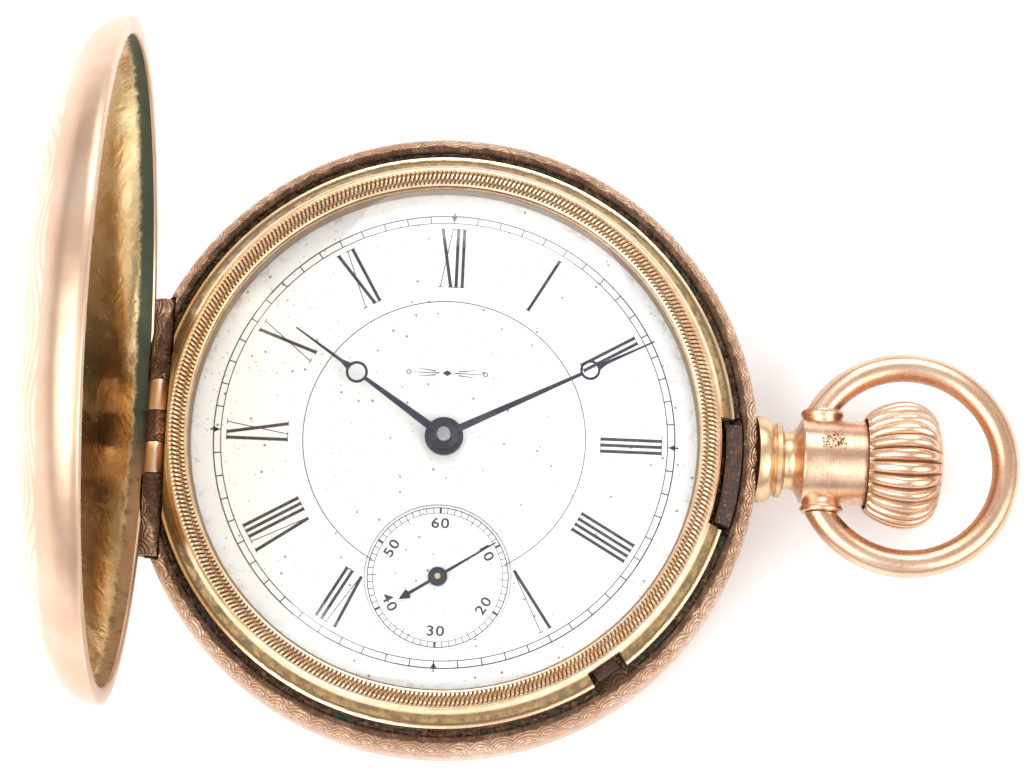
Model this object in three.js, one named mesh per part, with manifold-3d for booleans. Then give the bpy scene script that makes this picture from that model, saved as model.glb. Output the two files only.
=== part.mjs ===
// A hunter pocket watch for a lady, 6 size, in millimetres.
// X points out through the crown at 3 o'clock, Y points at 12 o'clock and Z rises out of the dial.
// The origin is the middle of the flat on the back lid, on which the watch lies.
import * as THREE from 'three';
import { mergeVertices } from 'three/addons/utils/BufferGeometryUtils.js';
import Module from 'manifold-3d';

const wasm = await Module();
wasm.setup();

// ---------------------------------------------------------------- driving dimensions

const FULL_TURN = 2 * Math.PI;
const CASE_SIDES = 36;
const TOOTH_SHARE = 1 / 4;           // the wheels carry this share of their real number of teeth
const GAP = 0.05;                 // running clearance between neighbours

const CASE_RADIUS = 20.5;
const LID_RADIUS = 20.2;
const REST_RADIUS = 9;            // the flat on the back lid
const LIP_OUTER = 19.75;          // the plain lip inside the engraved shoulder
const GROOVE_OUTER = 19.35;
const GROOVE_INNER = 18.95;
const DIAL_RADIUS = 17.2;
const DIAL_OPENING = 16.4;
const PLATE_RADIUS = 16.8;
const BRIDGE_RADIUS = 16.6;

const BAND_LOW = 3.1;
const BAND_HIGH = 8.55;
const BEZEL_SEAT = 8.35;
const DIAL_LOW = 7.95;
const DIAL_HIGH = 8.3;
const PLATE_LOW = 6.3;
const PLATE_HIGH = 7.9;
const BRIDGE_LOW = 3.45;
const BRIDGE_HIGH = 4.25;

// Hinges lie along chords on the 9 o'clock side, parallel to Y.
const FRONT_HINGE = { x: -18.7, z: 8.1, radius: 0.65, pin: 0.28 };
const BACK_HINGE = { x: -18.7, z: 3.1, radius: 0.55, pin: 0.25 };
const CUVETTE_HINGE = { x: -17.5, z: 3.25, radius: 0.35, pin: 0.16 };
const FRONT_LID_OPEN = -88;       // degrees from closed, as the part stands at rest

// The stem, pendant, crown and bow share one axis along X.
const STEM_Z = 5.8;
const BOW_PIVOT_X = 24.75;
const BOW_CENTRE_X = 30.3;
const BOW_RADIUS = 6.55;
const BOW_WIRE = 0.92;
const EAR_FACE = 3.4;

// Train centres, seen with 12 o'clock along Y.
const SECONDS_Y = -9.07;
const BARREL_AT = [3.94, 7.42];
const THIRD_AT = [3.6, -5.17];
const FOURTH_AT = [0, SECONDS_Y];
const ESCAPE_AT = [-4.35, -8.4];
const PALLET_AT = [-6.69, -5.53];
const BALANCE_AT = [-9.4, -2.2];
const CROWN_WHEEL_AT = [9.5, 0];
const MINUTE_WHEEL_AT = [2.93, 1.07];
const CLICK_AT = [-2.3, 11.02];
const COCK_FOOT_AT = [-11.3, 8.3];
const BALANCE_CLEARANCE = 6.95;

const BARREL_BRIDGE_PILLARS = [[-3.4, 14.2], [13.2, 8.2], [14.3, -4.4]];
const TRAIN_BRIDGE_PILLARS = [[10.2, -9.4], [1.8, -14.9], [-8.6, -12.4]];
const CASE_SCREWS_AT = [[5.6, 15.0], [6.4, -14.7]];

// The hands show ten past ten and nine and a half seconds.
const HOUR_ANGLE = 304.5;
const MINUTE_ANGLE = 63.2;
const SECONDS_ANGLE = 57;
const SETTING_LEVER_ANGLE = -53;

// ---------------------------------------------------------------- solids

// A closed geometry as a solid that can be joined and cut.
function solid(shape) {
  if (!shape.isBufferGeometry) return shape;
  const flat = shape.index ? shape.toNonIndexed() : shape;
  const bare = new THREE.BufferGeometry();
  bare.setAttribute('position', flat.getAttribute('position'));
  const merged = mergeVertices(bare, 1e-4);
  const corners = [];
  for (let i = 0; i < merged.index.count; i += 3) {
    const [a, b, c] = [0, 1, 2].map((k) => merged.index.getX(i + k));
    if (a !== b && b !== c && c !== a) corners.push(a, b, c);
  }
  return new wasm.Manifold(new wasm.Mesh({
    numProp: 3,
    vertProperties: merged.attributes.position.array,
    triVerts: new Uint32Array(corners),
  }));
}

const join = (first, ...others) => others.reduce((made, o) => made.add(solid(o)), solid(first));
const cut = (first, ...others) => others.reduce((made, o) => made.subtract(solid(o)), solid(first));
const common = (first, other) => solid(first).intersect(solid(other));

// A solid's triangles as a geometry.
function geometryOf(made) {
  const mesh = made.getMesh();
  const geometry = new THREE.BufferGeometry();
  geometry.setAttribute('position', new THREE.BufferAttribute(new Float32Array(mesh.vertProperties), 3));
  geometry.setIndex(new THREE.BufferAttribute(new Uint32Array(mesh.triVerts), 1));
  const faceted = geometry.toNonIndexed();
  faceted.computeVertexNormals();
  return faceted;
}

const radians = THREE.MathUtils.degToRad;
const polar = (radius, degrees) => [radius * Math.cos(radians(degrees)), radius * Math.sin(radians(degrees))];

// An outline of [radius, height] points turned about Z. It starts and ends on the axis, or is a ring.
function turned(outline, sides = 32) {
  const points = outline.map(([radius, height]) => new THREE.Vector2(radius, height));
  if (THREE.ShapeUtils.area(points) < 0) points.reverse();
  const onAxis = points[0].x === 0 && points[points.length - 1].x === 0;
  if (!onAxis) points.push(points[0].clone());
  return new THREE.LatheGeometry(points, sides).rotateX(Math.PI / 2);
}

const alongX = (geometry) => geometry.rotateY(Math.PI / 2);
const alongY = (geometry) => geometry.rotateX(-Math.PI / 2);

function disc(radius, low, high, sides = 24, at = [0, 0]) {
  return turned([[0, low], [radius, low], [radius, high], [0, high]], sides).translate(at[0], at[1], 0);
}

function ring(inner, outer, low, high, sides = 32, at = [0, 0]) {
  const outline = [[inner, low], [outer, low], [outer, high], [inner, high]];
  return turned(outline, sides).translate(at[0], at[1], 0);
}

function block(low, high) {
  const size = high.map((value, k) => value - low[k]);
  const middle = high.map((value, k) => (value + low[k]) / 2);
  return new THREE.BoxGeometry(...size).translate(...middle);
}

// A closed outline of [x, y] points between two heights.
function plate(outline, low, high) {
  const shape = new THREE.Shape(outline.map(([x, y]) => new THREE.Vector2(x, y)));
  return extruded(shape, low, high);
}

function extruded(shape, low, high) {
  return new THREE.ExtrudeGeometry(shape, { depth: high - low, bevelEnabled: false, curveSegments: 12 })
    .translate(0, 0, low);
}

// Part of a flat ring, from one angle to another in degrees.
function sector(inner, outer, from, to, low, high, steps = 12) {
  const angles = Array.from({ length: steps + 1 }, (_, i) => from + ((to - from) * i) / steps);
  const outline = [...angles.map((a) => polar(outer, a)), ...angles.reverse().map((a) => polar(inner, a))];
  return plate(outline, low, high);
}

// A bar with round ends between two points, seen from above.
function bar(from, to, halfWidth, low, high, endSteps = 4) {
  const heading = Math.atan2(to[1] - from[1], to[0] - from[0]);
  const outline = [[to, -0.5], [from, 0.5]].flatMap(([end, start]) =>
    Array.from({ length: endSteps + 1 }, (_, i) => {
      const turn = heading + Math.PI * (start + i / endSteps);
      return [end[0] + halfWidth * Math.cos(turn), end[1] + halfWidth * Math.sin(turn)];
    }));
  return plate(outline, low, high);
}

// A toothed wheel. lean moves each tip towards the next root: 0.5 is a straight tooth.
function gear(teeth, tip, depth, low, high, lean = 0.5) {
  const outline = [];
  for (let i = 0; i < teeth; i += 1) {
    outline.push(polar(tip - depth, (360 * i) / teeth), polar(tip, (360 * (i + lean)) / teeth));
  }
  return plate(outline, low, high);
}

// A train wheel's rim, with the share of its teeth that the solid carries.
function toothed(teeth, ...shape) {
  return gear(Math.round(teeth * TOOTH_SHARE), ...shape);
}

// A flat strip wound from an inner to an outer radius.
function spiral(inner, outer, turns, thickness, low, high, stepsPerTurn = 10) {
  const steps = Math.round(turns * stepsPerTurn);
  const side = (shift) => Array.from({ length: steps + 1 }, (_, i) =>
    polar(inner + ((outer - inner) * i) / steps + shift, (360 * turns * i) / steps));
  return plate([...side(thickness / 2), ...side(-thickness / 2).reverse()], low, high);
}

// A round wire bent to part of a circle in the plane of X and Y.
class Arc extends THREE.Curve {
  constructor(radius, from, to) {
    super();
    Object.assign(this, { radius, from, to });
  }

  getPoint(t, target = new THREE.Vector3()) {
    const [x, y] = polar(this.radius, this.from + (this.to - this.from) * t);
    return target.set(x, y, 0);
  }
}

function wire(path, radius, sides, steps) {
  const section = new THREE.Shape(
    Array.from({ length: sides }, (_, i) => new THREE.Vector2(...polar(radius, (360 * i) / sides))));
  return new THREE.ExtrudeGeometry(section, { extrudePath: path, steps, bevelEnabled: false });
}

// ---------------------------------------------------------------- the assembly

const FINISHES = {
  rose_gold: { color: 0xc98d62, roughness: 0.32, metalness: 1 },
  yellow_gold: { color: 0xc9a15a, roughness: 0.35, metalness: 1 },
  gilt: { color: 0xd8b56c, roughness: 0.4, metalness: 1 },
  nickel: { color: 0xc4c2bb, roughness: 0.35, metalness: 1 },
  steel: { color: 0xa9abad, roughness: 0.3, metalness: 1 },
  blued_steel: { color: 0x20222c, roughness: 0.28, metalness: 1 },
  rusty_steel: { color: 0x4c3a36, roughness: 0.7, metalness: 0.7 },
  enamel: { color: 0xe9e9ea, roughness: 0.18, metalness: 0 },
  glass: { color: 0xf2f6f7, roughness: 0.05, metalness: 0, transparent: true, opacity: 0.25 },
};

const watch = new THREE.Group();

// Adds one piece. parent carries its place, and the piece is made where it stands there.
function piece(name, shape, finish, parent = watch) {
  const material = new THREE.MeshStandardMaterial(FINISHES[finish]);
  const mesh = new THREE.Mesh(geometryOf(solid(shape)), material);
  mesh.name = name;
  parent.add(mesh);
  return mesh;
}

// A group at a place and turned clockwise from 12 o'clock.
function placed(at, clockwise = 0) {
  const group = new THREE.Group();
  group.position.set(at[0], at[1], 0);
  group.rotation.z = -radians(clockwise);
  watch.add(group);
  return group;
}

// ---------------------------------------------------------------- hinges

const FRONT_KNUCKLES = { case: [[-8.5, -3.15], [-1, 1], [3.15, 8.5]], lid: [[-3.1, -1.05], [1.05, 3.1]] };
const BACK_KNUCKLES = { case: [[-6.5, -2.3], [2.3, 6.5]], lid: [[-2.25, 2.25]] };
const CUVETTE_KNUCKLES = { case: [[-3, -1.2], [1.2, 3]], lid: [[-1.15, 1.15]] };

// Solid tubes on a hinge's chord, one for each [from, to] stretch of Y.
function knuckles(hinge, stretches) {
  return stretches.map(([from, to]) =>
    alongY(disc(hinge.radius, from, to, 10)).translate(hinge.x, 0, hinge.z));
}

function hingeBore(hinge, halfLength) {
  return alongY(disc(hinge.pin + GAP, -halfLength, halfLength, 8)).translate(hinge.x, 0, hinge.z);
}

function hingeRoom(hinge, halfLength) {
  return alongY(disc(hinge.radius + 0.13, -halfLength, halfLength, 10)).translate(hinge.x, 0, hinge.z);
}

function hingePin(name, hinge, halfLength) {
  const pin = alongY(disc(hinge.pin, -halfLength, halfLength, 8)).translate(hinge.x, 0, hinge.z);
  piece(name, pin, 'steel');
}

// A web of metal for each stretch of Y, joining knuckles to the piece that carries them.
function webs(stretches, [lowX, highX], [lowZ, highZ]) {
  return stretches.map(([from, to]) => block([lowX, from, lowZ], [highX, to, highZ]));
}

// ---------------------------------------------------------------- case middle and bezel

function caseCentre() {
  const band = turned([
    [16.95, 3.5], [16.95, 7.25], [17.45, 7.25], [17.45, BEZEL_SEAT], [GROOVE_INNER, BEZEL_SEAT],
    [GROOVE_INNER, 8.0], [GROOVE_OUTER, 8.0], [GROOVE_OUTER, BAND_HIGH], [LIP_OUTER, BAND_HIGH],
    [20.25, 8.2], [CASE_RADIUS, 7.1], [CASE_RADIUS, 4.4], [19.9, BAND_LOW], [17.85, BAND_LOW], [17.85, 3.5],
  ], CASE_SIDES);
  const frontPocket = block([-21, -8.7, 7.3], [-17.95, 8.7, 9]);
  const backPocket = block([-21, -7.9, 3], [-18.02, 7.9, 4.05]);
  const cuvettePocket = block([-21, -3.15, 3], [-16, 3.15, 3.8]);
  const stemHole = alongX(disc(0.75, 15, 21, 16)).translate(0, 0, STEM_Z);
  const liftChannel = sector(17.65, 18.35, 112, 154, 5.5, 9, 5);
  const lockChannel = sector(17.95, 18.8, -27, 20, 6.9, 9, 6);
  const lockWindow = sector(17.9, 19.4, -16.5, 6, 7.3, 9, 3);
  const leverSlot = block([17, -1.25, 7.45], [19.45, 1.25, 9]).rotateZ(radians(SETTING_LEVER_ANGLE));
  const body = cut(band, frontPocket, backPocket, cuvettePocket, stemHole, liftChannel, lockChannel,
    lockWindow, leverSlot);
  const frontWebs = webs(FRONT_KNUCKLES.case, [-19.0, -18.1], [7.2, FRONT_HINGE.z]);
  const backWebs = webs(BACK_KNUCKLES.case, [-18.5, -18.2], [BACK_HINGE.z, 4.15]);
  const cuvetteWebs = webs(CUVETTE_KNUCKLES.case, [-17.8, -17.2], [CUVETTE_HINGE.z, 3.9]);
  const hinged = join(body, ...frontWebs, ...backWebs, ...cuvetteWebs,
    ...knuckles(FRONT_HINGE, FRONT_KNUCKLES.case), ...knuckles(BACK_HINGE, BACK_KNUCKLES.case),
    ...knuckles(CUVETTE_HINGE, CUVETTE_KNUCKLES.case));
  piece('case_center', cut(hinged, hingeBore(FRONT_HINGE, 9), hingeBore(BACK_HINGE, 7),
    hingeBore(CUVETTE_HINGE, 3.1)), 'rose_gold');
}

function bezel() {
  const body = turned([
    [DIAL_OPENING, 8.4], [DIAL_OPENING, 9.3], [16.95, 9.3], [16.95, 10.0], [17.8, 9.95],
    [18.55, 9.1], [18.9, 8.4],
  ], CASE_SIDES);
  const hingeFlat = block([-19, -9, 8.3], [-17.88, 9, 9.9]);
  const catchFlat = sector(17.9, 19, -16.5, 6, 8.3, 9.9, 3);
  const leverNotch = block([17.95, -1.25, 8.3], [19, 1.25, 9.9]).rotateZ(radians(SETTING_LEVER_ANGLE));
  piece('bezel', cut(body, hingeFlat, catchFlat, leverNotch), 'rose_gold');
}

function crystal() {
  const glass = turned([
    [0, 11.2], [9, 10.9], [16, 10.0], [16.84, 9.85], [16.84, 9.35], [16, 9.47], [9, 10.45], [0, 10.75],
  ], CASE_SIDES);
  piece('crystal', glass, 'glass');
}

// ---------------------------------------------------------------- lids

function frontLid() {
  const hinged = new THREE.Group();
  hinged.position.set(FRONT_HINGE.x, 0, FRONT_HINGE.z);
  hinged.rotation.y = radians(FRONT_LID_OPEN);
  watch.add(hinged);
  const shell = turned([
    [0, 13.75], [9, 13.4], [15, 12.6], [18.4, 11.5], [19.8, 10.4], [LID_RADIUS, 9.3], [LID_RADIUS, 8.62],
    [19.1, 8.62], [19.1, 10.0], [17.9, 11.1], [14.6, 12.1], [9, 12.85], [0, 13.2],
  ], CASE_SIDES);
  const hingeEdge = block([-21, -12, 8], [-19.3, 12, 14]);
  const catchGroove = sector(18.5, 19.45, -17.5, 7, 8.5, 9.3, 3);
  const trimmed = cut(shell, hingeEdge, hingeRoom(FRONT_HINGE, 8.75), catchGroove);
  const lidWebs = webs(FRONT_KNUCKLES.lid, [-19.3, -18.95], [FRONT_HINGE.z, 10.2]);
  const whole = join(trimmed, ...lidWebs, ...knuckles(FRONT_HINGE, FRONT_KNUCKLES.lid));
  const lid = piece('front_lid', cut(whole, hingeBore(FRONT_HINGE, 9)), 'rose_gold', hinged);
  lid.position.set(-FRONT_HINGE.x, 0, -FRONT_HINGE.z);
}

function backLid() {
  const shell = turned([
    [0, 0], [REST_RADIUS, 0], [14, 0.4], [18, 1.3], [LID_RADIUS, 2.6], [LID_RADIUS, 3.05],
    [19.2, 3.05], [17.4, 1.8], [13.7, 0.95], [REST_RADIUS, 0.6], [0, 0.6],
  ], CASE_SIDES);
  const hingeEdge = block([-21, -12, -1], [-19.3, 12, 4]);
  const trimmed = cut(shell, hingeEdge, hingeRoom(BACK_HINGE, 6.6));
  const lidWebs = webs(BACK_KNUCKLES.lid, [-19.2, -18.5], [2.3, BACK_HINGE.z]);
  const whole = join(trimmed, ...lidWebs, ...knuckles(BACK_HINGE, BACK_KNUCKLES.lid));
  piece('back_lid', cut(whole, hingeBore(BACK_HINGE, 7)), 'rose_gold');
}

function cuvette() {
  const shell = turned([
    [0, 1.5], [11, 1.75], [17.0, 2.6], [17.7, 2.65], [17.7, 3.0], [16.8, 3.0], [11, 2.1], [0, 1.85],
  ], 36);
  const hingeEdge = block([-19, -12, 2], [-17.35, 12, 4]);
  const trimmed = cut(shell, hingeEdge, hingeRoom(CUVETTE_HINGE, 3.1));
  const lidWebs = webs(CUVETTE_KNUCKLES.lid, [-17.6, -16.9], [2.7, 3.15]);
  const whole = join(trimmed, ...lidWebs, ...knuckles(CUVETTE_HINGE, CUVETTE_KNUCKLES.lid));
  piece('cuvette', cut(whole, hingeBore(CUVETTE_HINGE, 3.1)), 'yellow_gold');
}

// ---------------------------------------------------------------- case springs

function liftSpring() {
  piece('lift_spring', sector(17.8, 18.15, 115, 151, 5.7, 7.9, 10), 'steel');
}

function lockSpring() {
  const strip = sector(18.25, 18.6, -25, 17, 7.0, 8.25, 8);
  const nose = sector(18.25, 19.3, -15.5, 4.8, 7.5, 8.95, 4);
  piece('lock_spring', join(strip, nose), 'rusty_steel');
}

function settingLever() {
  const holder = placed([0, 0]);
  holder.rotation.z = radians(SETTING_LEVER_ANGLE);
  const strip = block([14.6, -0.6, 7.6], [18.7, 0.6, 7.85]);
  const tip = block([17.95, -0.85, 7.6], [18.7, 0.85, 8.45]);
  piece('setting_lever', join(strip, tip), 'rusty_steel', holder);
}

// ---------------------------------------------------------------- pendant, crown and bow

function pendant() {
  const axis = new THREE.Group();
  axis.position.z = STEM_Z;
  watch.add(axis);
  const body = alongX(turned([
    [0.65, 19.45], [2.55, 19.45], [2.83, 20.7], [2.4, 21.7], [2.4, 22.05], [1.87, 22.25],
    [1.87, 22.75], [2.78, 23.4], [2.78, 27.85], [1.4, 27.85], [1.4, 24.15], [0.65, 24.15],
  ], 20));
  const ears = [1, -1].map((side) =>
    alongY(disc(1.39, Math.min(2.4 * side, EAR_FACE * side), Math.max(2.4 * side, EAR_FACE * side), 14))
      .translate(BOW_PIVOT_X, 0, 0));
  const innerBore = alongX(disc(1.4, 24.15, 29, 20));
  const sockets = alongY(disc(0.6, -5, 5, 8)).translate(BOW_PIVOT_X, 0, 0);
  const caseCurve = disc(CASE_RADIUS + GAP, -4, 4, CASE_SIDES);
  piece('pendant', cut(join(body, ...ears), innerBore, sockets, caseCurve), 'rose_gold', axis);
  const sleeve = alongX(turned([
    [0.6, 25.55], [1.25, 25.55], [1.25, 27.65], [1.34, 27.65], [1.34, 27.8], [0.6, 27.8]], 20));
  piece('pendant_sleeve', sleeve, 'steel', axis);
  piece('stem', alongX(turned([
    [0, 11.9], [0.42, 11.9], [0.42, 24.35], [0.5, 24.45], [0.5, 30.55], [0, 30.55]], 16)), 'steel', axis);
  piece('crown', crownShape(), 'rose_gold', axis);
  piece('winding_pinion', windingPinion(), 'steel', axis);
}

function windingPinion() {
  const toothed = alongX(gear(18, 1.8, 0.35, 12.5, 14.3));
  const collar = alongX(disc(1.15, 14.2, 15.4, 16));
  const bore = alongX(disc(0.42 + GAP, 12, 16, 16));
  return cut(join(toothed, collar), bore);
}

// A turned knob whose widest part is fluted: every second side is drawn in.
function crownShape() {
  const flutes = 16;             // the fine fluting is coarser on this solid
  const outline = [
    [0, 32.6], [2.8, 32.4], [3.95, 31.25], [4.22, 29.95], [3.4, 27.65], [3.0, 27.55], [3.0, 28.75],
    [0.6, 28.75], [0.6, 30.65], [0, 30.65],
  ];
  const points = outline.map(([radius, height]) => new THREE.Vector2(radius, height)).reverse();
  const knob = new THREE.LatheGeometry(points, 2 * flutes);
  const place = knob.getAttribute('position');
  for (let side = 0; side <= 2 * flutes; side += 1) {
    for (let k = 0; k < points.length; k += 1) {
      const i = side * points.length + k;
      const drawnIn = side % 2 === 1 && points[k].x > 3.1 ? 0.93 : 1;
      place.setX(i, place.getX(i) * drawnIn);
      place.setZ(i, place.getZ(i) * drawnIn);
    }
  }
  return alongX(knob.rotateX(Math.PI / 2));
}

function bow() {
  const holder = new THREE.Group();
  holder.position.set(0, 0, STEM_Z);
  watch.add(holder);
  const hoop = wire(new Arc(BOW_RADIUS, -154, 154), BOW_WIRE, 8, 26).translate(BOW_CENTRE_X, 0, 0);
  const pendantRoom = block([22, -EAR_FACE - GAP, -2], [27.5, EAR_FACE + GAP, 2]);
  const pins = [1, -1].map((side) => alongY(disc(0.52, Math.min(2.9 * side, 3.9 * side),
    Math.max(2.9 * side, 3.9 * side), 12)).translate(BOW_PIVOT_X, 0, 0));
  piece('bow', join(cut(hoop, pendantRoom), ...pins), 'rose_gold', holder);
}

// ---------------------------------------------------------------- dial and hands

function dials() {
  const face = new THREE.Shape();
  face.absarc(0, 0, DIAL_RADIUS, 0, FULL_TURN);
  const main = new THREE.ExtrudeGeometry(face,
    { depth: DIAL_HIGH - DIAL_LOW, bevelEnabled: false, curveSegments: 24 }).translate(0, 0, DIAL_LOW);
  piece('dial', cut(main, disc(1.0, 7, 9, 16), disc(4.75, 7, 9, 28, FOURTH_AT)), 'enamel');
  const small = ring(0.35, 4.7, DIAL_LOW, 8.12, 28);
  piece('seconds_dial', small, 'enamel', placed(FOURTH_AT));
}

// A tapering hand with a ring near its tip, pointing at 12 o'clock.
function moonHand({ length, ringAt, ringRadius, ringHole, width, hub, bore, low }) {
  const high = low + 0.16;
  const shaft = plate([[-width, 0], [width, 0], [width * 0.6, ringAt - ringRadius + 0.05],
    [-width * 0.6, ringAt - ringRadius + 0.05]], low, high);
  const neck = ringAt + ringRadius;
  const tip = plate([[-0.28, neck - 0.08], [0.28, neck - 0.08], [0.08, length], [-0.08, length]], low, high);
  const boss = disc(hub, low - 0.06, low + 0.26, 14);
  const moon = ring(ringHole, ringRadius, low, high, 14, [0, ringAt]);
  return cut(join(boss, shaft, moon, tip), disc(bore, low - 1, low + 1, 10));
}

function hands() {
  const hour = { length: 12.07, ringAt: 7.1, ringRadius: 0.72, ringHole: 0.42, width: 0.34, hub: 1.25 };
  const minute = { length: 15.0, ringAt: 10.4, ringRadius: 0.6, ringHole: 0.36, width: 0.28, hub: 0.94 };
  piece('hour_hand', moonHand({ ...hour, bore: 0.9, low: 8.95 }), 'blued_steel', placed([0, 0], HOUR_ANGLE));
  piece('minute_hand', moonHand({ ...minute, bore: 0.58, low: 9.38 }), 'blued_steel',
    placed([0, 0], MINUTE_ANGLE));
  const blade = plate([[-0.13, 0], [0.13, 0], [0.05, 4.35], [-0.05, 4.35]], 8.42, 8.54);
  const tail = plate([[-0.1, 0], [-0.12, -2.2], [-0.35, -2.2], [0, -2.9], [0.35, -2.2], [0.12, -2.2],
    [0.1, 0]], 8.42, 8.54);
  const hub = disc(0.62, 8.36, 8.62, 16);
  piece('seconds_hand', cut(join(hub, blade, tail), disc(0.22, 8, 9, 12)), 'blued_steel',
    placed(FOURTH_AT, SECONDS_ANGLE));
}

// ---------------------------------------------------------------- motion work

function motionWork() {
  piece('cannon_pinion', turned([
    [0.27, 7.06], [0.76, 7.06], [0.76, 7.36], [0.5, 7.4], [0.5, 9.9], [0.4, 10.2], [0, 10.2], [0, 9.6],
    [0.27, 9.6]], 16), 'steel');
  const minuteWheel = join(toothed(36, 2.3, 0.25, 7.1, 7.3), disc(0.58, 7.3, 7.8, 12));
  piece('minute_wheel', cut(minuteWheel, disc(0.2, 7, 8, 10)), 'gilt', placed(MINUTE_WHEEL_AT));
  const hourWheel = join(toothed(40, 2.46, 0.25, 7.45, 7.65), disc(0.8, 7.5, 9.25, 12));
  piece('hour_wheel', cut(hourWheel, disc(0.56, 7, 10, 16)), 'gilt');
}

// ---------------------------------------------------------------- plates and bridges

function pillarPlate() {
  const body = turned([
    [0, PLATE_LOW], [PLATE_RADIUS, PLATE_LOW], [PLATE_RADIUS, 7.3], [17.35, 7.3], [17.35, PLATE_HIGH],
    [0, PLATE_HIGH]], 30);
  const pillars = [...BARREL_BRIDGE_PILLARS, ...TRAIN_BRIDGE_PILLARS].map((at) =>
    disc(0.95, BRIDGE_HIGH + GAP, PLATE_LOW + 0.1, 10, at));
  const screwHoles = [...BARREL_BRIDGE_PILLARS, ...TRAIN_BRIDGE_PILLARS].map((at) =>
    disc(0.4, 4, 5.6, 6, at));
  const motionRoom = [disc(2.75, 7, 8, 16), disc(2.6, 7, 8, 16, MINUTE_WHEEL_AT)];
  const pinionRoom = block([11.2, -2.0, 6], [18, 2.0, 7.7]);
  const leverRoom = block([13.8, -0.75, 7.5], [18, 0.75, 8]).rotateZ(radians(SETTING_LEVER_ANGLE));
  const pivots = [[[0, 0], 0.45], [THIRD_AT, 0.22], [FOURTH_AT, 0.28], [ESCAPE_AT, 0.2],
    [PALLET_AT, 0.2], [BALANCE_AT, 0.2], [BARREL_AT, 0.5]].map(([at, radius]) => disc(radius, 6, 9, 8, at));
  piece('pillar_plate', cut(join(body, ...pillars), ...screwHoles, ...motionRoom, pinionRoom, leverRoom,
    ...pivots), 'nickel');
}

// The line that parts the barrel bridge from the train bridge.
const BRIDGE_PARTING = [[-18, 4.6], [-2.4, 4.6], [0.4, 1.7], [3.6, 1.5], [5.0, -2.2], [7.4, -4.5], [18, -6.6]];

// One side of the bridge layer: 1 for the barrel bridge, -1 for the train bridge.
function bridgeBlank(side) {
  const line = BRIDGE_PARTING.map(([x, y]) => [x, y + side * GAP]);
  const half = plate([...line, [18, 18 * side], [-18, 18 * side]], 3, 5);
  const blank = disc(BRIDGE_RADIUS, BRIDGE_LOW, BRIDGE_HIGH, 30);
  const balanceRoom = disc(BALANCE_CLEARANCE, 3, 5, 30, BALANCE_AT);
  const cockRoom = disc(2.7, 3, 5, 16, COCK_FOOT_AT);
  const cockSide = block([-18, -4, 3], [-9.4, 18, 5]);
  return cut(common(blank, half), balanceRoom, cockRoom, cockSide);
}

const holes = (places, radius, low = 2, high = 9) => places.map((at) => disc(radius, low, high, 8, at));

function bridges() {
  const crownRoom = ring(2.7, 3.7, 3, 4.02, 28, CROWN_WHEEL_AT);
  const pinionRoom = block([11.6, -2.0, 3.4], [16.0, 2.0, 5]);
  piece('barrel_bridge', cut(bridgeBlank(1), ...holes(BARREL_BRIDGE_PILLARS, 0.4),
    ...holes([CASE_SCREWS_AT[0], CLICK_AT], 0.4), ...holes([BARREL_AT], 0.66),
    ...holes([CROWN_WHEEL_AT], 0.4), crownRoom, pinionRoom), 'nickel');
  piece('train_bridge', cut(bridgeBlank(-1), ...holes(TRAIN_BRIDGE_PILLARS, 0.4),
    ...holes([CASE_SCREWS_AT[1]], 0.4), ...holes([[0, 0], THIRD_AT, FOURTH_AT, ESCAPE_AT], 0.24),
    pinionRoom), 'nickel');
  const arm = bar(COCK_FOOT_AT, BALANCE_AT, 1.1, 2.95, 3.35);
  const head = disc(1.7, 2.95, 3.35, 24, BALANCE_AT);
  const foot = disc(2.0, 2.95, PLATE_LOW - GAP, 16, COCK_FOOT_AT);
  const screwSeat = disc(1.05, 2.9, 3.25, 12, COCK_FOOT_AT);
  piece('balance_cock', cut(join(arm, head, foot), screwSeat, ...holes([COCK_FOOT_AT], 0.45, 2, 5.5),
    ...holes([BALANCE_AT], 0.16)), 'nickel');
  const palletArm = bar([-6.4, -5.9], [-9.6, -8.2], 0.8, 4.25, 4.7);
  const palletFoot = disc(0.9, 4.25, PLATE_LOW - GAP, 14, [-9.9, -8.5]);
  piece('pallet_bridge', cut(join(palletArm, palletFoot), ...holes([PALLET_AT], 0.18, 4, 5)), 'nickel');
}

// A cheese-head screw standing on a face, its head towards the back of the watch.
function screw(name, at, headRadius, shankRadius, face, length, headHeight = 0.35) {
  const made = turned([[0, face - headHeight], [headRadius, face - headHeight], [headRadius, face],
    [shankRadius, face], [shankRadius, face + length], [0, face + length]], 10);
  const slot = block([-headRadius * 1.2, -0.1, face - headHeight - 1],
    [headRadius * 1.2, 0.1, face - headHeight + 0.12]);
  return piece(name, cut(made, slot), 'blued_steel', placed(at, 30));
}

function screws() {
  const face = BRIDGE_LOW - 0.03;
  BARREL_BRIDGE_PILLARS.forEach((at, i) => screw(`barrel_bridge_screw_${i + 1}`, at, 0.8, 0.35, face, 2));
  TRAIN_BRIDGE_PILLARS.forEach((at, i) => screw(`train_bridge_screw_${i + 1}`, at, 0.8, 0.35, face, 2));
  CASE_SCREWS_AT.forEach((at, i) => screw(`case_screw_${i + 1}`, at, 1.3, 0.35, face, 0.7));
  screw('cock_screw', COCK_FOOT_AT, 0.9, 0.4, 3.22, 2.2, 0.3);
  screw('crown_wheel_screw', CROWN_WHEEL_AT, 1.1, 0.35, 3.02, 1.2, 0.3);
  screw('ratchet_screw', BARREL_AT, 0.95, 0.28, 2.97, 0.9, 0.3);
}

// ---------------------------------------------------------------- winding work and barrel

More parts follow.
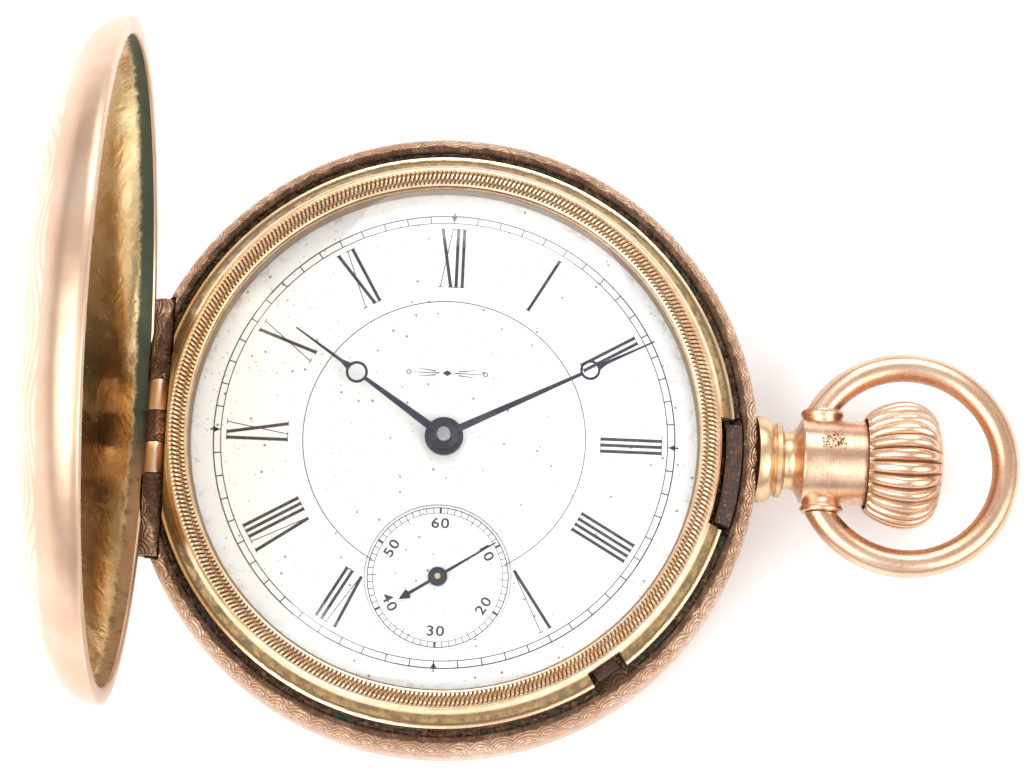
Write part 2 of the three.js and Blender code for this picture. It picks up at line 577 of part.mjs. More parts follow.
function windingWork() {
  const crownWheel = join(toothed(37, 3.5, 0.3, 3.06, 3.4), ring(2.85, 3.2, 3.3, 3.94, 28));
  piece('crown_wheel', cut(crownWheel, disc(0.4, 2, 5, 12)), 'steel', placed(CROWN_WHEEL_AT));
  const ratchet = toothed(57, 5.55, 0.4, 3.06, 3.4, 0.1);
  piece('ratchet_wheel', cut(ratchet, disc(0.64, 2, 5, 12)), 'steel', placed(BARREL_AT));
  const arbor = turned([[0.32, 3.02], [0.6, 3.02], [0.6, 5.12], [1.1, 5.12], [1.1, 5.82], [0.6, 5.84],
    [0.6, 6.18], [0.45, 6.2], [0.45, 6.9], [0, 6.9], [0, 4], [0.32, 4]], 10);
  piece('barrel_arbor', arbor, 'steel', placed(BARREL_AT));
  const lever = join(bar([0, 0], [1.25, -0.72], 0.3, 3.1, 3.38, 3), disc(0.75, 3.1, 3.38, 16),
    disc(0.32, 3.3, 4.2, 10));
  piece('click', lever, 'steel', placed(CLICK_AT));
  const strip = bar([-3.6, 9.2], [-3.2, 12.4], 0.12, 3.12, 3.36, 2);
  const anchor = disc(0.5, 3.12, BRIDGE_LOW - 0.03, 12, [-3.6, 9.0]);
  piece('click_spring', join(strip, anchor), 'steel');
}

function barrel() {
  const cup = turned([[6.2, 4.85], [6.6, 4.85], [6.6, 6.15], [0.66, 6.15], [0.66, 5.92], [6.2, 5.92]], 20);
  const teeth = cut(toothed(72, 7.15, 0.3, 5.75, 6.05), disc(6.4, 5, 7, 20));
  piece('mainspring_barrel', join(cup, teeth), 'gilt', placed(BARREL_AT));
  piece('barrel_cover', ring(0.66, 6.0, 4.88, 5.03, 20), 'gilt', placed(BARREL_AT));
  piece('mainspring', spiral(1.3, 5.9, 3.5, 0.22, 5.12, 5.84), 'steel', placed(BARREL_AT));
}

// ---------------------------------------------------------------- train and escapement

// A wheel on its arbor. The outline is the arbor and pinion, and the wheel is pierced by its spokes.
function wheel(name, at, arbor, { teeth, tip, low, high, lean = 0.5, depth = 0.3 }, finish = 'gilt') {
  const rim = toothed(teeth, tip, depth, low, high, lean);
  const windows = [0, 90, 180, 270].map((turn) =>
    sector(tip * 0.3, tip - depth - 0.4, turn + 14, turn + 76, low - 1, high + 1, 2));
  piece(name, join(cut(rim, ...windows), turned(arbor, 8)), finish, placed(at));
}

function train() {
  wheel('center_wheel', [0, 0], [[0, 3.6], [0.2, 3.6], [0.2, 4.3], [0.9, 4.3], [0.9, 4.6], [0.34, 4.6],
    [0.34, 5.55], [1.15, 5.55], [1.15, 6.15], [0.34, 6.15], [0.34, 6.95], [0.2, 6.95], [0.2, 9.5], [0, 9.5]],
  { teeth: 80, tip: 5.58, low: 4.35, high: 4.53 });
  wheel('third_wheel', THIRD_AT, [[0, 3.6], [0.15, 3.6], [0.15, 4.3], [0.66, 4.3], [0.66, 4.65],
    [0.25, 4.65], [0.25, 6.2], [0.15, 6.2], [0.15, 6.8], [0, 6.8]],
  { teeth: 75, tip: 4.65, low: 5.3, high: 5.45 });
  wheel('fourth_wheel', FOURTH_AT, [[0, 3.6], [0.15, 3.6], [0.15, 4.3], [0.25, 4.3], [0.25, 5.2],
    [0.58, 5.2], [0.58, 5.6], [0.2, 5.6], [0.2, 8.7], [0, 8.7]],
  { teeth: 80, tip: 3.96, low: 4.74, high: 4.88, depth: 0.25 });
  wheel('escape_wheel', ESCAPE_AT, [[0, 3.6], [0.15, 3.6], [0.15, 4.64], [0.36, 4.64], [0.36, 4.98],
    [0.2, 4.98], [0.2, 6.2], [0.12, 6.2], [0.12, 6.7], [0, 6.7]],
  { teeth: 15 / TOOTH_SHARE, tip: 3.0, low: 5.2, high: 5.36, lean: 0.06, depth: 0.7 }, 'steel');
}

// The lever points from its arbor at the balance, and its arms straddle the escape wheel.
function palletFork() {
  const toBalance = Math.atan2(BALANCE_AT[1] - PALLET_AT[1], BALANCE_AT[0] - PALLET_AT[0]);
  const holder = placed(PALLET_AT);
  holder.rotation.z = toBalance;
  const lever = bar([0, 0], [2.7, 0], 0.2, 5.2, 5.36, 3);
  const horns = [1, -1].map((side) => bar([2.65, 0.1 * side], [3.25, 0.32 * side], 0.12, 5.2, 5.36, 2));
  const arms = [1, -1].map((side) => bar([0, 0], [-0.45, 1.75 * side], 0.22, 5.2, 5.36, 3));
  const arbor = turned([[0, 4.4], [0.14, 4.4], [0.14, 4.75], [0.25, 4.8], [0.25, 6.2], [0.13, 6.25],
    [0.13, 6.7], [0, 6.7]], 8);
  piece('pallet_fork', join(lever, ...horns, ...arms, arbor), 'steel', holder);
}

function balance() {
  const rim = ring(6.1, 6.7, 3.76, 4.1, 24);
  const armAcross = block([-6.3, -0.35, 3.8], [6.3, 0.35, 4.0]);
  const staff = turned([[0, 3.05], [0.11, 3.05], [0.11, 3.4], [0.3, 3.42], [0.3, 3.7], [0.5, 3.72],
    [0.5, 4.1], [0.25, 4.12], [0.25, 4.95], [0.5, 4.95], [0.5, 5.1], [0.25, 5.1], [0.25, 6.2],
    [0.12, 6.25], [0.12, 6.7], [0, 6.7]], 8);
  const roller = cut(disc(0.78, 4.95, 5.1, 16), disc(0.2, 4, 6, 8));
  const jewel = disc(0.12, 5.05, 5.4, 8, [0.55, 0]);
  const holder = placed(BALANCE_AT);
  holder.rotation.z = Math.atan2(PALLET_AT[1] - BALANCE_AT[1], PALLET_AT[0] - BALANCE_AT[0]);
  piece('balance_wheel', join(rim, armAcross, staff, roller, jewel), 'gilt', holder);
  piece('hairspring', spiral(0.42, 3.1, 3.5, 0.08, 3.46, 3.62), 'blued_steel', placed(BALANCE_AT));
  piece('hairspring_stud', disc(0.22, 3.38, 3.66, 10), 'steel', placed([-6.0, -2.0]));
  const arm = bar([0, 0], [-2.9, -3.4], 0.16, 2.68, 2.88, 2);
  const collar = disc(1.25, 2.68, 2.88, 24);
  piece('regulator', cut(join(arm, collar), disc(0.62, 2, 4, 16)), 'steel', placed(BALANCE_AT));
}

// ---------------------------------------------------------------- build

caseCentre();
bezel();
crystal();
frontLid();
backLid();
cuvette();
hingePin('front_hinge_pin', FRONT_HINGE, 8.5);
hingePin('back_hinge_pin', BACK_HINGE, 6.5);
hingePin('cuvette_hinge_pin', CUVETTE_HINGE, 3);
liftSpring();
lockSpring();
settingLever();
pendant();
bow();
dials();
hands();
motionWork();
pillarPlate();
bridges();
screws();
windingWork();
barrel();
train();
palletFork();
balance();

export default watch;
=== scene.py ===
"""The looks of a lady's hunter pocket watch, worn and tarnished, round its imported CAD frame.

The lengths in this file are millimetres, in the frame's own axes: X out through the crown, Y at
12 o'clock and Z up out of the dial. They become metres as each piece is finished.
"""

import math
import random

import bmesh
import bpy
from mathutils import Matrix, Vector


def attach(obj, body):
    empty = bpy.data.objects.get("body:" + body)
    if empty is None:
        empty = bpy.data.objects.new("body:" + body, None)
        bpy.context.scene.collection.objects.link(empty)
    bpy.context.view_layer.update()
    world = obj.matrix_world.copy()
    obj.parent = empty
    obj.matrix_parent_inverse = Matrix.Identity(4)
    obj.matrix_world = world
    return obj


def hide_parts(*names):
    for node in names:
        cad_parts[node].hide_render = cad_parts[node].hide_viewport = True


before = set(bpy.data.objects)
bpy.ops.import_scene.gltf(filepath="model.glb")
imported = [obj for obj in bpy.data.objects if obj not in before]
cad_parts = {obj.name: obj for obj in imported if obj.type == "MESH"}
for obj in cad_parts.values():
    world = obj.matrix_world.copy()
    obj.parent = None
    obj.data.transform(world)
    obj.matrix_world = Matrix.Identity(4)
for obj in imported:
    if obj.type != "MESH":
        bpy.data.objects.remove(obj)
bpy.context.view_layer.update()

# ---------------------------------------------------------------- the watch's driving sizes

MM = 0.001
STEPS = 192                      # sides of a turned piece
AXIS_Z = Vector((0, 0, 1))

CASE_RADIUS = 20.5
DIAL_TOP = 8.3
SECONDS_AT = (0, -9.07)
STEM_Z = 5.8
FRONT_HINGE = (-18.7, 8.1)
BACK_HINGE = (-18.7, 3.1)
CUVETTE_HINGE = (-17.5, 3.25)
FRONT_LID_OPEN = -88
LID_MIDDLE_Z = 27                # the open lid's middle
BOW_PIVOT_X = 24.75
BOW_CENTRE_X = 30.3
BOW_RADIUS = 6.55
BOW_WIRE = 0.92
SETTING_LEVER_ANGLE = -53
CROWN_FLUTES = 26
HOUR_ANGLE = 304.5
MINUTE_ANGLE = 63.2
SECONDS_ANGLE = 57

# ---------------------------------------------------------------- meshes


def turned(outline, steps=STEPS, closed=True, turn=360):
    """An outline of (radius, height) points turned about Z. An open outline ends on the axis."""
    bm = bmesh.new()
    corners = [bm.verts.new((radius, 0, height)) for radius, height in outline]
    pairs = list(zip(corners, corners[1:] + corners[:1] if closed else corners[1:]))
    edges = [bm.edges.new(pair) for pair in pairs]
    whole = turn == 360
    bmesh.ops.spin(bm, geom=corners + edges, cent=(0, 0, 0), axis=AXIS_Z,
                   angle=math.radians(turn), steps=steps, use_merge=whole)
    tidy(bm)
    return bm


def tidy(bm):
    bmesh.ops.remove_doubles(bm, verts=bm.verts, dist=1e-5)
    bmesh.ops.recalc_face_normals(bm, faces=bm.faces)


def slab(outline, low, high):
    """A closed outline of (x, y) points between two heights."""
    bm = bmesh.new()
    face = bm.faces.new([bm.verts.new((x, y, low)) for x, y in outline])
    grown = bmesh.ops.extrude_face_region(bm, geom=[face])
    raised = [v for v in grown["geom"] if isinstance(v, bmesh.types.BMVert)]
    bmesh.ops.translate(bm, verts=raised, vec=(0, 0, high - low))
    bmesh.ops.recalc_face_normals(bm, faces=bm.faces)
    return bm


def box(low, high):
    bm = bmesh.new()
    bmesh.ops.create_cube(bm, size=1)
    size = [b - a for a, b in zip(low, high)]
    middle = [(a + b) / 2 for a, b in zip(low, high)]
    bmesh.ops.scale(bm, vec=size, verts=bm.verts)
    bmesh.ops.translate(bm, vec=middle, verts=bm.verts)
    return bm


def disc(radius, low, high, at=(0, 0), steps=48):
    bm = bmesh.new()
    bmesh.ops.create_cone(bm, cap_ends=True, segments=steps, radius1=radius, radius2=radius,
                          depth=high - low)
    bmesh.ops.translate(bm, vec=(at[0], at[1], (low + high) / 2), verts=bm.verts)
    return bm


def eased(bm, width, segments=2, angle=30):
    """Rounds every edge that is sharper than an angle in degrees."""
    sharp = [e for e in bm.edges if len(e.link_faces) == 2 and e.calc_face_angle(0) > math.radians(angle)]
    bmesh.ops.bevel(bm, geom=sharp, offset=width, segments=segments, profile=0.5, affect="EDGES",
                    material=-1, clamp_overlap=True)
    return bm


def turn(bm, degrees, axis="Z", about=(0, 0, 0)):
    bmesh.ops.rotate(bm, verts=bm.verts, cent=about, matrix=Matrix.Rotation(math.radians(degrees), 3, axis))
    return bm


def move(bm, x=0, y=0, z=0):
    bmesh.ops.translate(bm, vec=(x, y, z), verts=bm.verts)
    return bm


def along_x(bm):
    return turn(bm, 90, "Y")


def along_y(bm):
    return turn(bm, -90, "X")


def joined(*parts):
    """Several meshes as one, their shells left as they are."""
    whole = bmesh.new()
    for part in parts:
        loose = bpy.data.meshes.new("loose")
        part.to_mesh(loose)
        part.free()
        whole.from_mesh(loose)
        bpy.data.meshes.remove(loose)
    return whole


def raw_object(bm, name="blank"):
    mesh = bpy.data.meshes.new(name)
    bm.to_mesh(mesh)
    bm.free()
    made = bpy.data.objects.new(name, mesh)
    bpy.context.scene.collection.objects.link(made)
    return made


def carved(body, *tools, operation="DIFFERENCE"):
    """A mesh with others cut from it, or added to it."""
    blank = raw_object(body)
    for tool in tools:
        cutter = raw_object(tool, "cutter")
        step = blank.modifiers.new("carve", "BOOLEAN")
        step.operation = operation
        step.solver = "EXACT"
        step.object = cutter
        depsgraph = bpy.context.evaluated_depsgraph_get()
        cut = bpy.data.meshes.new_from_object(blank.evaluated_get(depsgraph))
        blank.modifiers.clear()
        blank.data = cut
        bpy.data.objects.remove(cutter)
    result = bmesh.new()
    result.from_mesh(blank.data)
    bpy.data.objects.remove(blank)
    bmesh.ops.remove_doubles(result, verts=result.verts, dist=1e-5)
    return result


def piece(name, bm, body, finish, stands_for=(), sharp=35):
    """Puts a finished mesh in the scene: it rides a body, and may stand for CAD nodes."""
    bmesh.ops.scale(bm, vec=(MM, MM, MM), verts=bm.verts)
    made = raw_object(bm, name)
    made.data.name = name
    made.data.shade_smooth()
    made.data.set_sharp_from_angle(angle=math.radians(sharp))
    made.data.materials.append(finish)
    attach(made, body)
    if stands_for:
        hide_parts(*stands_for)
    return made


def polar(radius, degrees):
    return radius * math.cos(math.radians(degrees)), radius * math.sin(math.radians(degrees))


# ---------------------------------------------------------------- shader values


class Value:
    """A number or colour on its way between shader nodes."""

    def __init__(self, finish, socket):
        self.finish = finish
        self.socket = socket

    def math(self, operation, *numbers):
        return self.finish.node("ShaderNodeMath", {"operation": operation}, dict(enumerate(numbers)))

    def __add__(self, other):
        return self.math("ADD", self, other)

    __radd__ = __add__

    def __sub__(self, other):
        return self.math("SUBTRACT", self, other)

    def __rsub__(self, other):
        return self.math("SUBTRACT", other, self)

    def __mul__(self, other):
        return self.math("MULTIPLY", self, other)

    __rmul__ = __mul__

    def __truediv__(self, other):
        return self.math("DIVIDE", self, other)

    def power(self, other):
        return self.math("POWER", self, other)

    def size(self):
        return self.math("ABSOLUTE", self)

    def sine(self):
        return self.math("SINE", self)

    def least(self, other):
        return self.math("MINIMUM", self, other)

    def most(self, other):
        return self.math("MAXIMUM", self, other)


class Finish:
    """One material, and short ways to add nodes to it."""

    def __init__(self, name):
        self.material = bpy.data.materials.new(name)
        self.material.use_nodes = True
        self.tree = self.material.node_tree
        self.shader = self.tree.nodes["Principled BSDF"]

    def node(self, kind, settings=None, values=None, out=0):
        made = self.tree.nodes.new(kind)
        for name, setting in (settings or {}).items():
            setattr(made, name, setting)
        for key, value in (values or {}).items():
            if isinstance(value, Value):
                self.tree.links.new(value.socket, made.inputs[key])
            else:
                made.inputs[key].default_value = value
        return Value(self, made.outputs[out])

    def place(self):
        """Where a point is, in millimetres."""
        metres = self.node("ShaderNodeTexCoord", out="Object")
        return self.node("ShaderNodeVectorMath", {"operation": "SCALE"}, {0: metres, "Scale": 1 / MM})

    def axes(self, vector):
        return [self.node("ShaderNodeSeparateXYZ", None, {0: vector}, out) for out in range(3)]

    def vector(self, x, y, z):
        return self.node("ShaderNodeCombineXYZ", None, {0: x, 1: y, 2: z})

    def stretched(self, vector, x, y, z):
        return self.node("ShaderNodeVectorMath", {"operation": "MULTIPLY"}, {0: vector, 1: (x, y, z)})

    def noise(self, vector, scale, detail=4, roughness=0.55, distortion=0):
        return self.node("ShaderNodeTexNoise", None, {
            "Vector": vector, "Scale": scale, "Detail": detail, "Roughness": roughness,
            "Distortion": distortion})

    def cells(self, vector, scale):
        return self.node("ShaderNodeTexVoronoi", None, {"Vector": vector, "Scale": scale})

    def rise(self, value, low, high):
        """0 below low, 1 above high, smooth between."""
        return self.node("ShaderNodeMapRange", {"interpolation_type": "SMOOTHSTEP"},
                         {0: value, 1: low, 2: high, 3: 0, 4: 1})

    def band(self, value, middle, half, soft):
        """1 within half of the middle, falling to 0 over soft."""
        return 1 - self.rise((value - middle).size(), half, half + soft)

    def mix(self, share, first, second, blend="MIX"):
        made = self.tree.nodes.new("ShaderNodeMix")
        made.data_type = "RGBA"
        made.blend_type = blend
        for key, value in ((0, share), (6, first), (7, second)):
            if isinstance(value, Value):
                self.tree.links.new(value.socket, made.inputs[key])
            else:
                made.inputs[key].default_value = value
        return Value(self, made.outputs[2])

    def bump(self, height, depth, strength=1.0, over=None):
        values = {"Height": height, "Distance": depth * MM, "Strength": strength}
        if over:
            values["Normal"] = over
        return self.node("ShaderNodeBump", None, values)

    def set(self, **sockets):
        for name, value in sockets.items():
            socket = self.shader.inputs[name.replace("_", " ")]
            if isinstance(value, Value):
                self.tree.links.new(value.socket, socket)
            else:
                socket.default_value = value
        return self.material


def rgb(red, green, blue):
    return red, green, blue, 1


def set_stops(elements, stops):
    while len(elements) < len(stops):
        elements.new(1)
    for element, (place, colour) in zip(elements, stops):
        element.position = place
        element.color = colour


# ---------------------------------------------------------------- metals

ROSE = rgb(0.64, 0.39, 0.255)
ROSE_PALE = rgb(0.78, 0.53, 0.385)
YELLOW = rgb(0.70, 0.46, 0.20)
YELLOW_PALE = rgb(0.86, 0.66, 0.36)
BROWN = rgb(0.10, 0.045, 0.02)
TOBACCO = rgb(0.26, 0.13, 0.05)
VERDIGRIS = rgb(0.015, 0.06, 0.035)


def worn_gold(name, base=ROSE, pale=ROSE_PALE, tarnish=0.35, grime=0.0, rough=0.24, brush=None,
              relief=None, relief_depth=0.05, engraving_dirt=0.3, dark_in=None):
    """Old rolled gold: mottled colour, brown tarnish, fine scratches and pits."""
    finish = Finish(name)
    at = finish.place()
    broad = finish.noise(at, 0.16, 3)
    fine = finish.noise(at, 1.6, 6, 0.65)
    colour = finish.mix(finish.rise(broad, 0.38, 0.64), base, pale)
    colour = finish.mix(finish.rise(fine, 0.45, 0.8) * 0.35, colour, YELLOW)
    stain = finish.rise(finish.noise(at, 0.55, 8, 0.7, 0.6), 0.60, 0.78) * tarnish
    colour = finish.mix(stain, colour, TOBACCO)
    specks = finish.rise(finish.noise(at, 3.4, 5, 0.7), 0.70, 0.76)
    dirt = specks * (0.35 + grime)
    # dark_in can add painted shade to this dirt mask: at the case's hinge and in the crown's flutes.
    if dark_in:
        dirt = dirt.most(dark_in(finish, at))
    cuts = relief(finish, at) if relief else None
    if relief:
        colour = finish.mix((1 - finish.rise(cuts, 0.05, 0.45)) * engraving_dirt, colour, TOBACCO)
    colour = finish.mix(dirt.least(1), colour, BROWN)
    scratch_run = finish.stretched(at, *(brush or (1, 1, 1)))
    scratches = finish.noise(scratch_run, 7 if not brush else 3, 5, 0.7)
    roughness = rough + scratches * 0.16 + stain * 0.3 + dirt * 0.4
    normal = finish.bump(scratches, 0.012, 0.6)
    normal = finish.bump(broad, 0.5, 0.25, normal)
    normal = finish.bump(1 - specks, 0.03, 0.5, normal)
    if relief:
        normal = finish.bump(cuts, relief_depth, 1.0, normal)
    return finish.set(Base_Color=colour, Roughness=roughness, Metallic=1 - dirt * 0.7, Normal=normal)


def feathering(pitch, lines):
    """Engraver's work: rows of nested arcs, like the edge of a feather fan, round a band."""
    def height(finish, at):
        x, y, z = finish.axes(at)
        wobble = finish.noise(at, 0.55, 3)
        around = y.math("ARCTAN2", y, x) * (CASE_RADIUS / pitch) + wobble * 0.6
        out = (x * x + y * y).power(0.5)
        across = (z * 0.8 - out * 0.9) / pitch + wobble * 0.4
        row = across.math("FLOOR", across)
        shifted = around + row * 0.5
        u = shifted - shifted.math("ROUND", shifted)
        v = across - row
        reach = (u * u * 1.6 + v * v).power(0.5)
        return (reach * (math.tau * lines)).sine() * 0.5 + 0.5
    return height


def ringed_waves(finish, across, along, plain_radius, border_radius):
    """A lid's engraving: waves that ring it, between a plain middle and a plain border."""
    reach = (across * across + along * along).power(0.5)
    around = across.math("ARCTAN2", across, along)
    leaf = (around * 12).sine() * 0.9
    rings = ((reach + leaf) * 7.0).sine()
    inside, outside = plain_radius, border_radius
    weave = finish.rise(reach, *inside) * (1 - finish.rise(reach, *outside))
    return (rings * 0.5 + 0.5) * weave


def lid_work(finish, at):
    """The front lid stands on edge in the frame, so its rings lie in Y and Z."""
    _, y, z = finish.axes(at)
    return ringed_waves(finish, y, z - LID_MIDDLE_Z, (8.0, 9.0), (18.2, 18.8))


def back_work(finish, at):
    x, y, _ = finish.axes(at)
    return ringed_waves(finish, y, x, (9.6, 10.4), (18.4, 19.0))


def seat_grime(finish, at):
    """Dirt that has gathered in the lid's seat and round the bezel, and dirt with painted shade at the hinge.
    """
    x, y, z = finish.axes(at)
    out = (x * x + y * y).power(0.5)
    patchy = finish.rise(finish.noise(at, 0.8, 8, 0.7), 0.30, 0.55)
    wander = finish.noise(at, 1.3, 5) * 0.5 - 0.25
    groove = finish.band(out + wander, 19.2, 0.48, 0.12) * finish.rise(z, 7.2, 7.6)
    # Painted shade with dirt: the hinge pocket, its webs and the case's knuckles are darkened.
    hinge = finish.rise(0 - x, 17.4, 18.1) * finish.rise(z, 6.6, 7.4) * 0.9
    shoulder = finish.band(out, 19.75, 0.2, 0.4) * finish.rise(z, 8.0, 8.3) * patchy * 0.35
    return (groove * (0.6 + patchy * 0.4)).most(hinge * patchy * 0.8).most(shoulder)


case_gold = worn_gold("case_gold", tarnish=0.5, grime=0.1, rough=0.15,
                      relief=feathering(1.5, 5.5), relief_depth=0.11, engraving_dirt=0.66, dark_in=seat_grime)
lid_gold = worn_gold("lid_gold", base=ROSE_PALE, pale=rgb(0.86, 0.64, 0.50), tarnish=0.15, rough=0.28,
                     relief=lid_work)
back_gold = worn_gold("back_gold", tarnish=0.25, rough=0.26, relief=back_work, relief_depth=0.06)
bow_gold = worn_gold("bow_gold", tarnish=0.35, rough=0.2)


def flute_dirt(finish, at):
    """Dirt and painted shade in the bottoms of the crown's flutes."""
    x, y, z = finish.axes(at)
    turned_by = y.math("ARCTAN2", y, z - STEM_Z)
    # Painted shade with dirt: the bottoms of the flutes are darkened.
    groove = 1 - y.math("COSINE", turned_by * (CROWN_FLUTES / 2)).size()
    return finish.rise(groove, 0.72, 0.95) * (1 - finish.rise(x, 31.8, 32.3)) * 0.75


crown_gold = worn_gold("crown_gold", tarnish=0.2, rough=0.18, dark_in=flute_dirt)
pendant_gold = worn_gold("pendant_gold", tarnish=0.45, grime=0.25, rough=0.25, brush=(1, 8, 8))


def tarnished_neck():
    """The pendant: rose plating that has worn to yellow base metal in the neck and bead."""
    finish = Finish("pendant_neck")
    at = finish.place()
    x, y, _ = finish.axes(at)
    worn = 1 - finish.rise(x + finish.noise(at, 1.2, 4) * 0.6, 23.05, 23.55)
    streaks = finish.noise(finish.stretched(at, 9, 0.6, 0.6), 1.5, 5, 0.7)
    mottle = finish.noise(at, 0.9, 6, 0.7)
    colour = finish.mix(finish.rise(mottle, 0.4, 0.65), ROSE, ROSE_PALE)
    colour = finish.mix(worn * 0.65, colour, rgb(0.76, 0.53, 0.29))
    colour = finish.mix(finish.rise(streaks, 0.5, 0.8) * 0.4, colour, TOBACCO)
    cluster = finish.band(x, 25.3, 0.4, 0.8) * finish.band(y, 1.0, 0.25, 0.8)
    pits = finish.rise(finish.noise(at, 6, 7, 0.8) + cluster * 0.17, 0.66, 0.69)
    foot = (1 - finish.rise(x, 19.9, 20.8)) * finish.rise(mottle, 0.35, 0.55)
    root = finish.band(x, 21.8, 0.15, 0.3) * finish.rise(mottle, 0.4, 0.6)
    green = foot.most(root * 0.45) * 0.7
    colour = finish.mix(pits, colour, BROWN)
    colour = finish.mix(green, colour, VERDIGRIS)
    normal = finish.bump(streaks, 0.02, 0.7)
    normal = finish.bump(1 - pits, 0.05, 0.8, normal)
    return finish.set(Base_Color=colour, Roughness=0.22 + streaks * 0.12 + pits * 0.4 + green * 0.4,
                      Metallic=1 - pits.most(green) * 0.7, Normal=normal)


def milled_gold():
    """The bezel: bright slanted milling, a smooth slope, dirt with painted shade in every root and painted
    shade on the inner wall.
    """
    finish = Finish("bezel_gold")
    at = finish.place()
    x, y, z = finish.axes(at)
    out = (x * x + y * y).power(0.5)
    mottle = finish.noise(at, 0.7, 6, 0.7)
    colour = finish.mix(finish.rise(mottle, 0.4, 0.62), rgb(0.84, 0.57, 0.36), rgb(0.93, 0.70, 0.48))
    ledge = finish.rise(out, 17.98, 18.12) * (1 - finish.rise(out, 18.68, 18.74))
    colour = finish.mix(ledge * 0.9, colour, rgb(0.33, 0.22, 0.09))
    # Painted shade: the bezel's inner wall, below the crystal's edge, is darkened.
    inner = 1 - finish.rise(out, 16.5, 16.6)
    edge = finish.rise(finish.noise(at, 1.4, 8, 0.75), 0.42, 0.6)
    grime = (inner * 0.75).most(ledge * edge * 0.6)
    milling = finish.band(out, 17.17, 0.46, 0.06)
    # Painted shade with dirt: the roots of the milling are darkened below the ridge tops.
    dirty_shaded_roots = milling * (1 - finish.rise(z, 9.86, 9.98)) * 0.96
    specks = finish.rise(finish.noise(at, 2.6, 6, 0.7), 0.69, 0.74)
    grime = grime.most(specks * 0.8).most(dirty_shaded_roots)
    # This dark colour is dirt on the ledge and in specks, with painted shade on the inner wall and in the
    # roots.
    colour = finish.mix(grime, colour, rgb(0.06, 0.028, 0.012))
    tool_marks = finish.noise(at, 6, 4, 0.7)
    normal = finish.bump(tool_marks, 0.01, 0.5)
    return finish.set(Base_Color=colour, Roughness=0.2 + mottle * 0.14 + grime * 0.45,
                      Metallic=1 - grime * 0.9, Normal=normal)


def stained_lining():
    """Inside the lid: yellow gold with brown runs, black spots and a green rim."""
    finish = Finish("lid_lining")
    at = finish.place()
    _, y, z = finish.axes(at)
    height = z - LID_MIDDLE_Z
    reach = (y * y + height * height).power(0.5)
    mottle = finish.noise(at, 0.28, 6, 0.6, 0.4)
    colour = finish.mix(finish.rise(mottle, 0.35, 0.62), rgb(0.86, 0.62, 0.30), rgb(0.97, 0.82, 0.50))
    runs = finish.noise(finish.stretched(at, 1, 0.9, 0.28), 0.55, 5, 0.6, 0.3)
    colour = finish.mix(finish.rise(runs, 0.5, 0.75) * 0.5, colour, rgb(0.45, 0.26, 0.12))
    low = 1 - finish.rise(z + mottle * 6, 16, 24)
    colour = finish.mix(low * 0.5, colour, rgb(0.42, 0.22, 0.07))
    spots = finish.rise(finish.noise(at, 1.5, 7, 0.75), 0.655, 0.70)
    colour = finish.mix(spots * 0.9, colour, rgb(0.06, 0.03, 0.015))
    ragged = finish.noise(at, 1.5, 6, 0.7)
    rim = finish.rise(reach + ragged * 0.5, 19.0, 19.25)
    rim_colour = finish.mix(finish.rise(y + mottle * 8, -1, 6), TOBACCO, rgb(0.012, 0.035, 0.02))
    rim_colour = finish.mix(finish.rise(ragged, 0.52, 0.62) * 0.6, rim_colour, rgb(0.03, 0.02, 0.012))
    colour = finish.mix(rim * 0.95, colour, rim_colour)
    dirt = spots.most(rim)
    roughness = 0.17 + finish.rise(runs, 0.4, 0.7) * 0.2 + dirt * 0.4
    normal = finish.bump(runs, 0.02, 0.3)
    normal = finish.bump(mottle, 0.8, 0.2, normal)
    normal = finish.bump(1 - spots, 0.05, 0.7, normal)
    return finish.set(Base_Color=colour, Roughness=roughness, Metallic=1 - dirt * 0.75, Normal=normal)


def verdigris_dirt():
    """Packed dirt in the lid seat: brown, black and green crumbs."""
    finish = Finish("seat_dirt")
    at = finish.place()
    crumbs = finish.noise(at, 2.6, 8, 0.8)
    tone = finish.noise(at, 0.55, 3)
    colour = finish.mix(finish.rise(crumbs, 0.42, 0.62), rgb(0.025, 0.015, 0.01), rgb(0.20, 0.11, 0.05))
    colour = finish.mix(finish.rise(tone, 0.50, 0.60) * 0.75, colour, rgb(0.014, 0.045, 0.028))
    colour = finish.mix(finish.rise(crumbs, 0.66, 0.74), colour, rgb(0.45, 0.38, 0.26))
    normal = finish.bump(crumbs, 0.16, 1.0)
    return finish.set(Base_Color=colour, Roughness=0.7 - finish.rise(crumbs, 0.6, 0.7) * 0.3, Normal=normal)


def rusted_steel():
    finish = Finish("rusted_steel")
    at = finish.place()
    scale = finish.noise(at, 1.8, 8, 0.75)
    colour = finish.mix(finish.rise(scale, 0.45, 0.7), rgb(0.055, 0.035, 0.03), rgb(0.17, 0.065, 0.03))
    colour = finish.mix(finish.rise(finish.noise(at, 6, 4), 0.62, 0.7), colour, rgb(0.30, 0.22, 0.17))
    return finish.set(Base_Color=colour, Roughness=0.42 + scale * 0.3, Metallic=0.65,
                      Normal=finish.bump(scale, 0.08, 0.9))


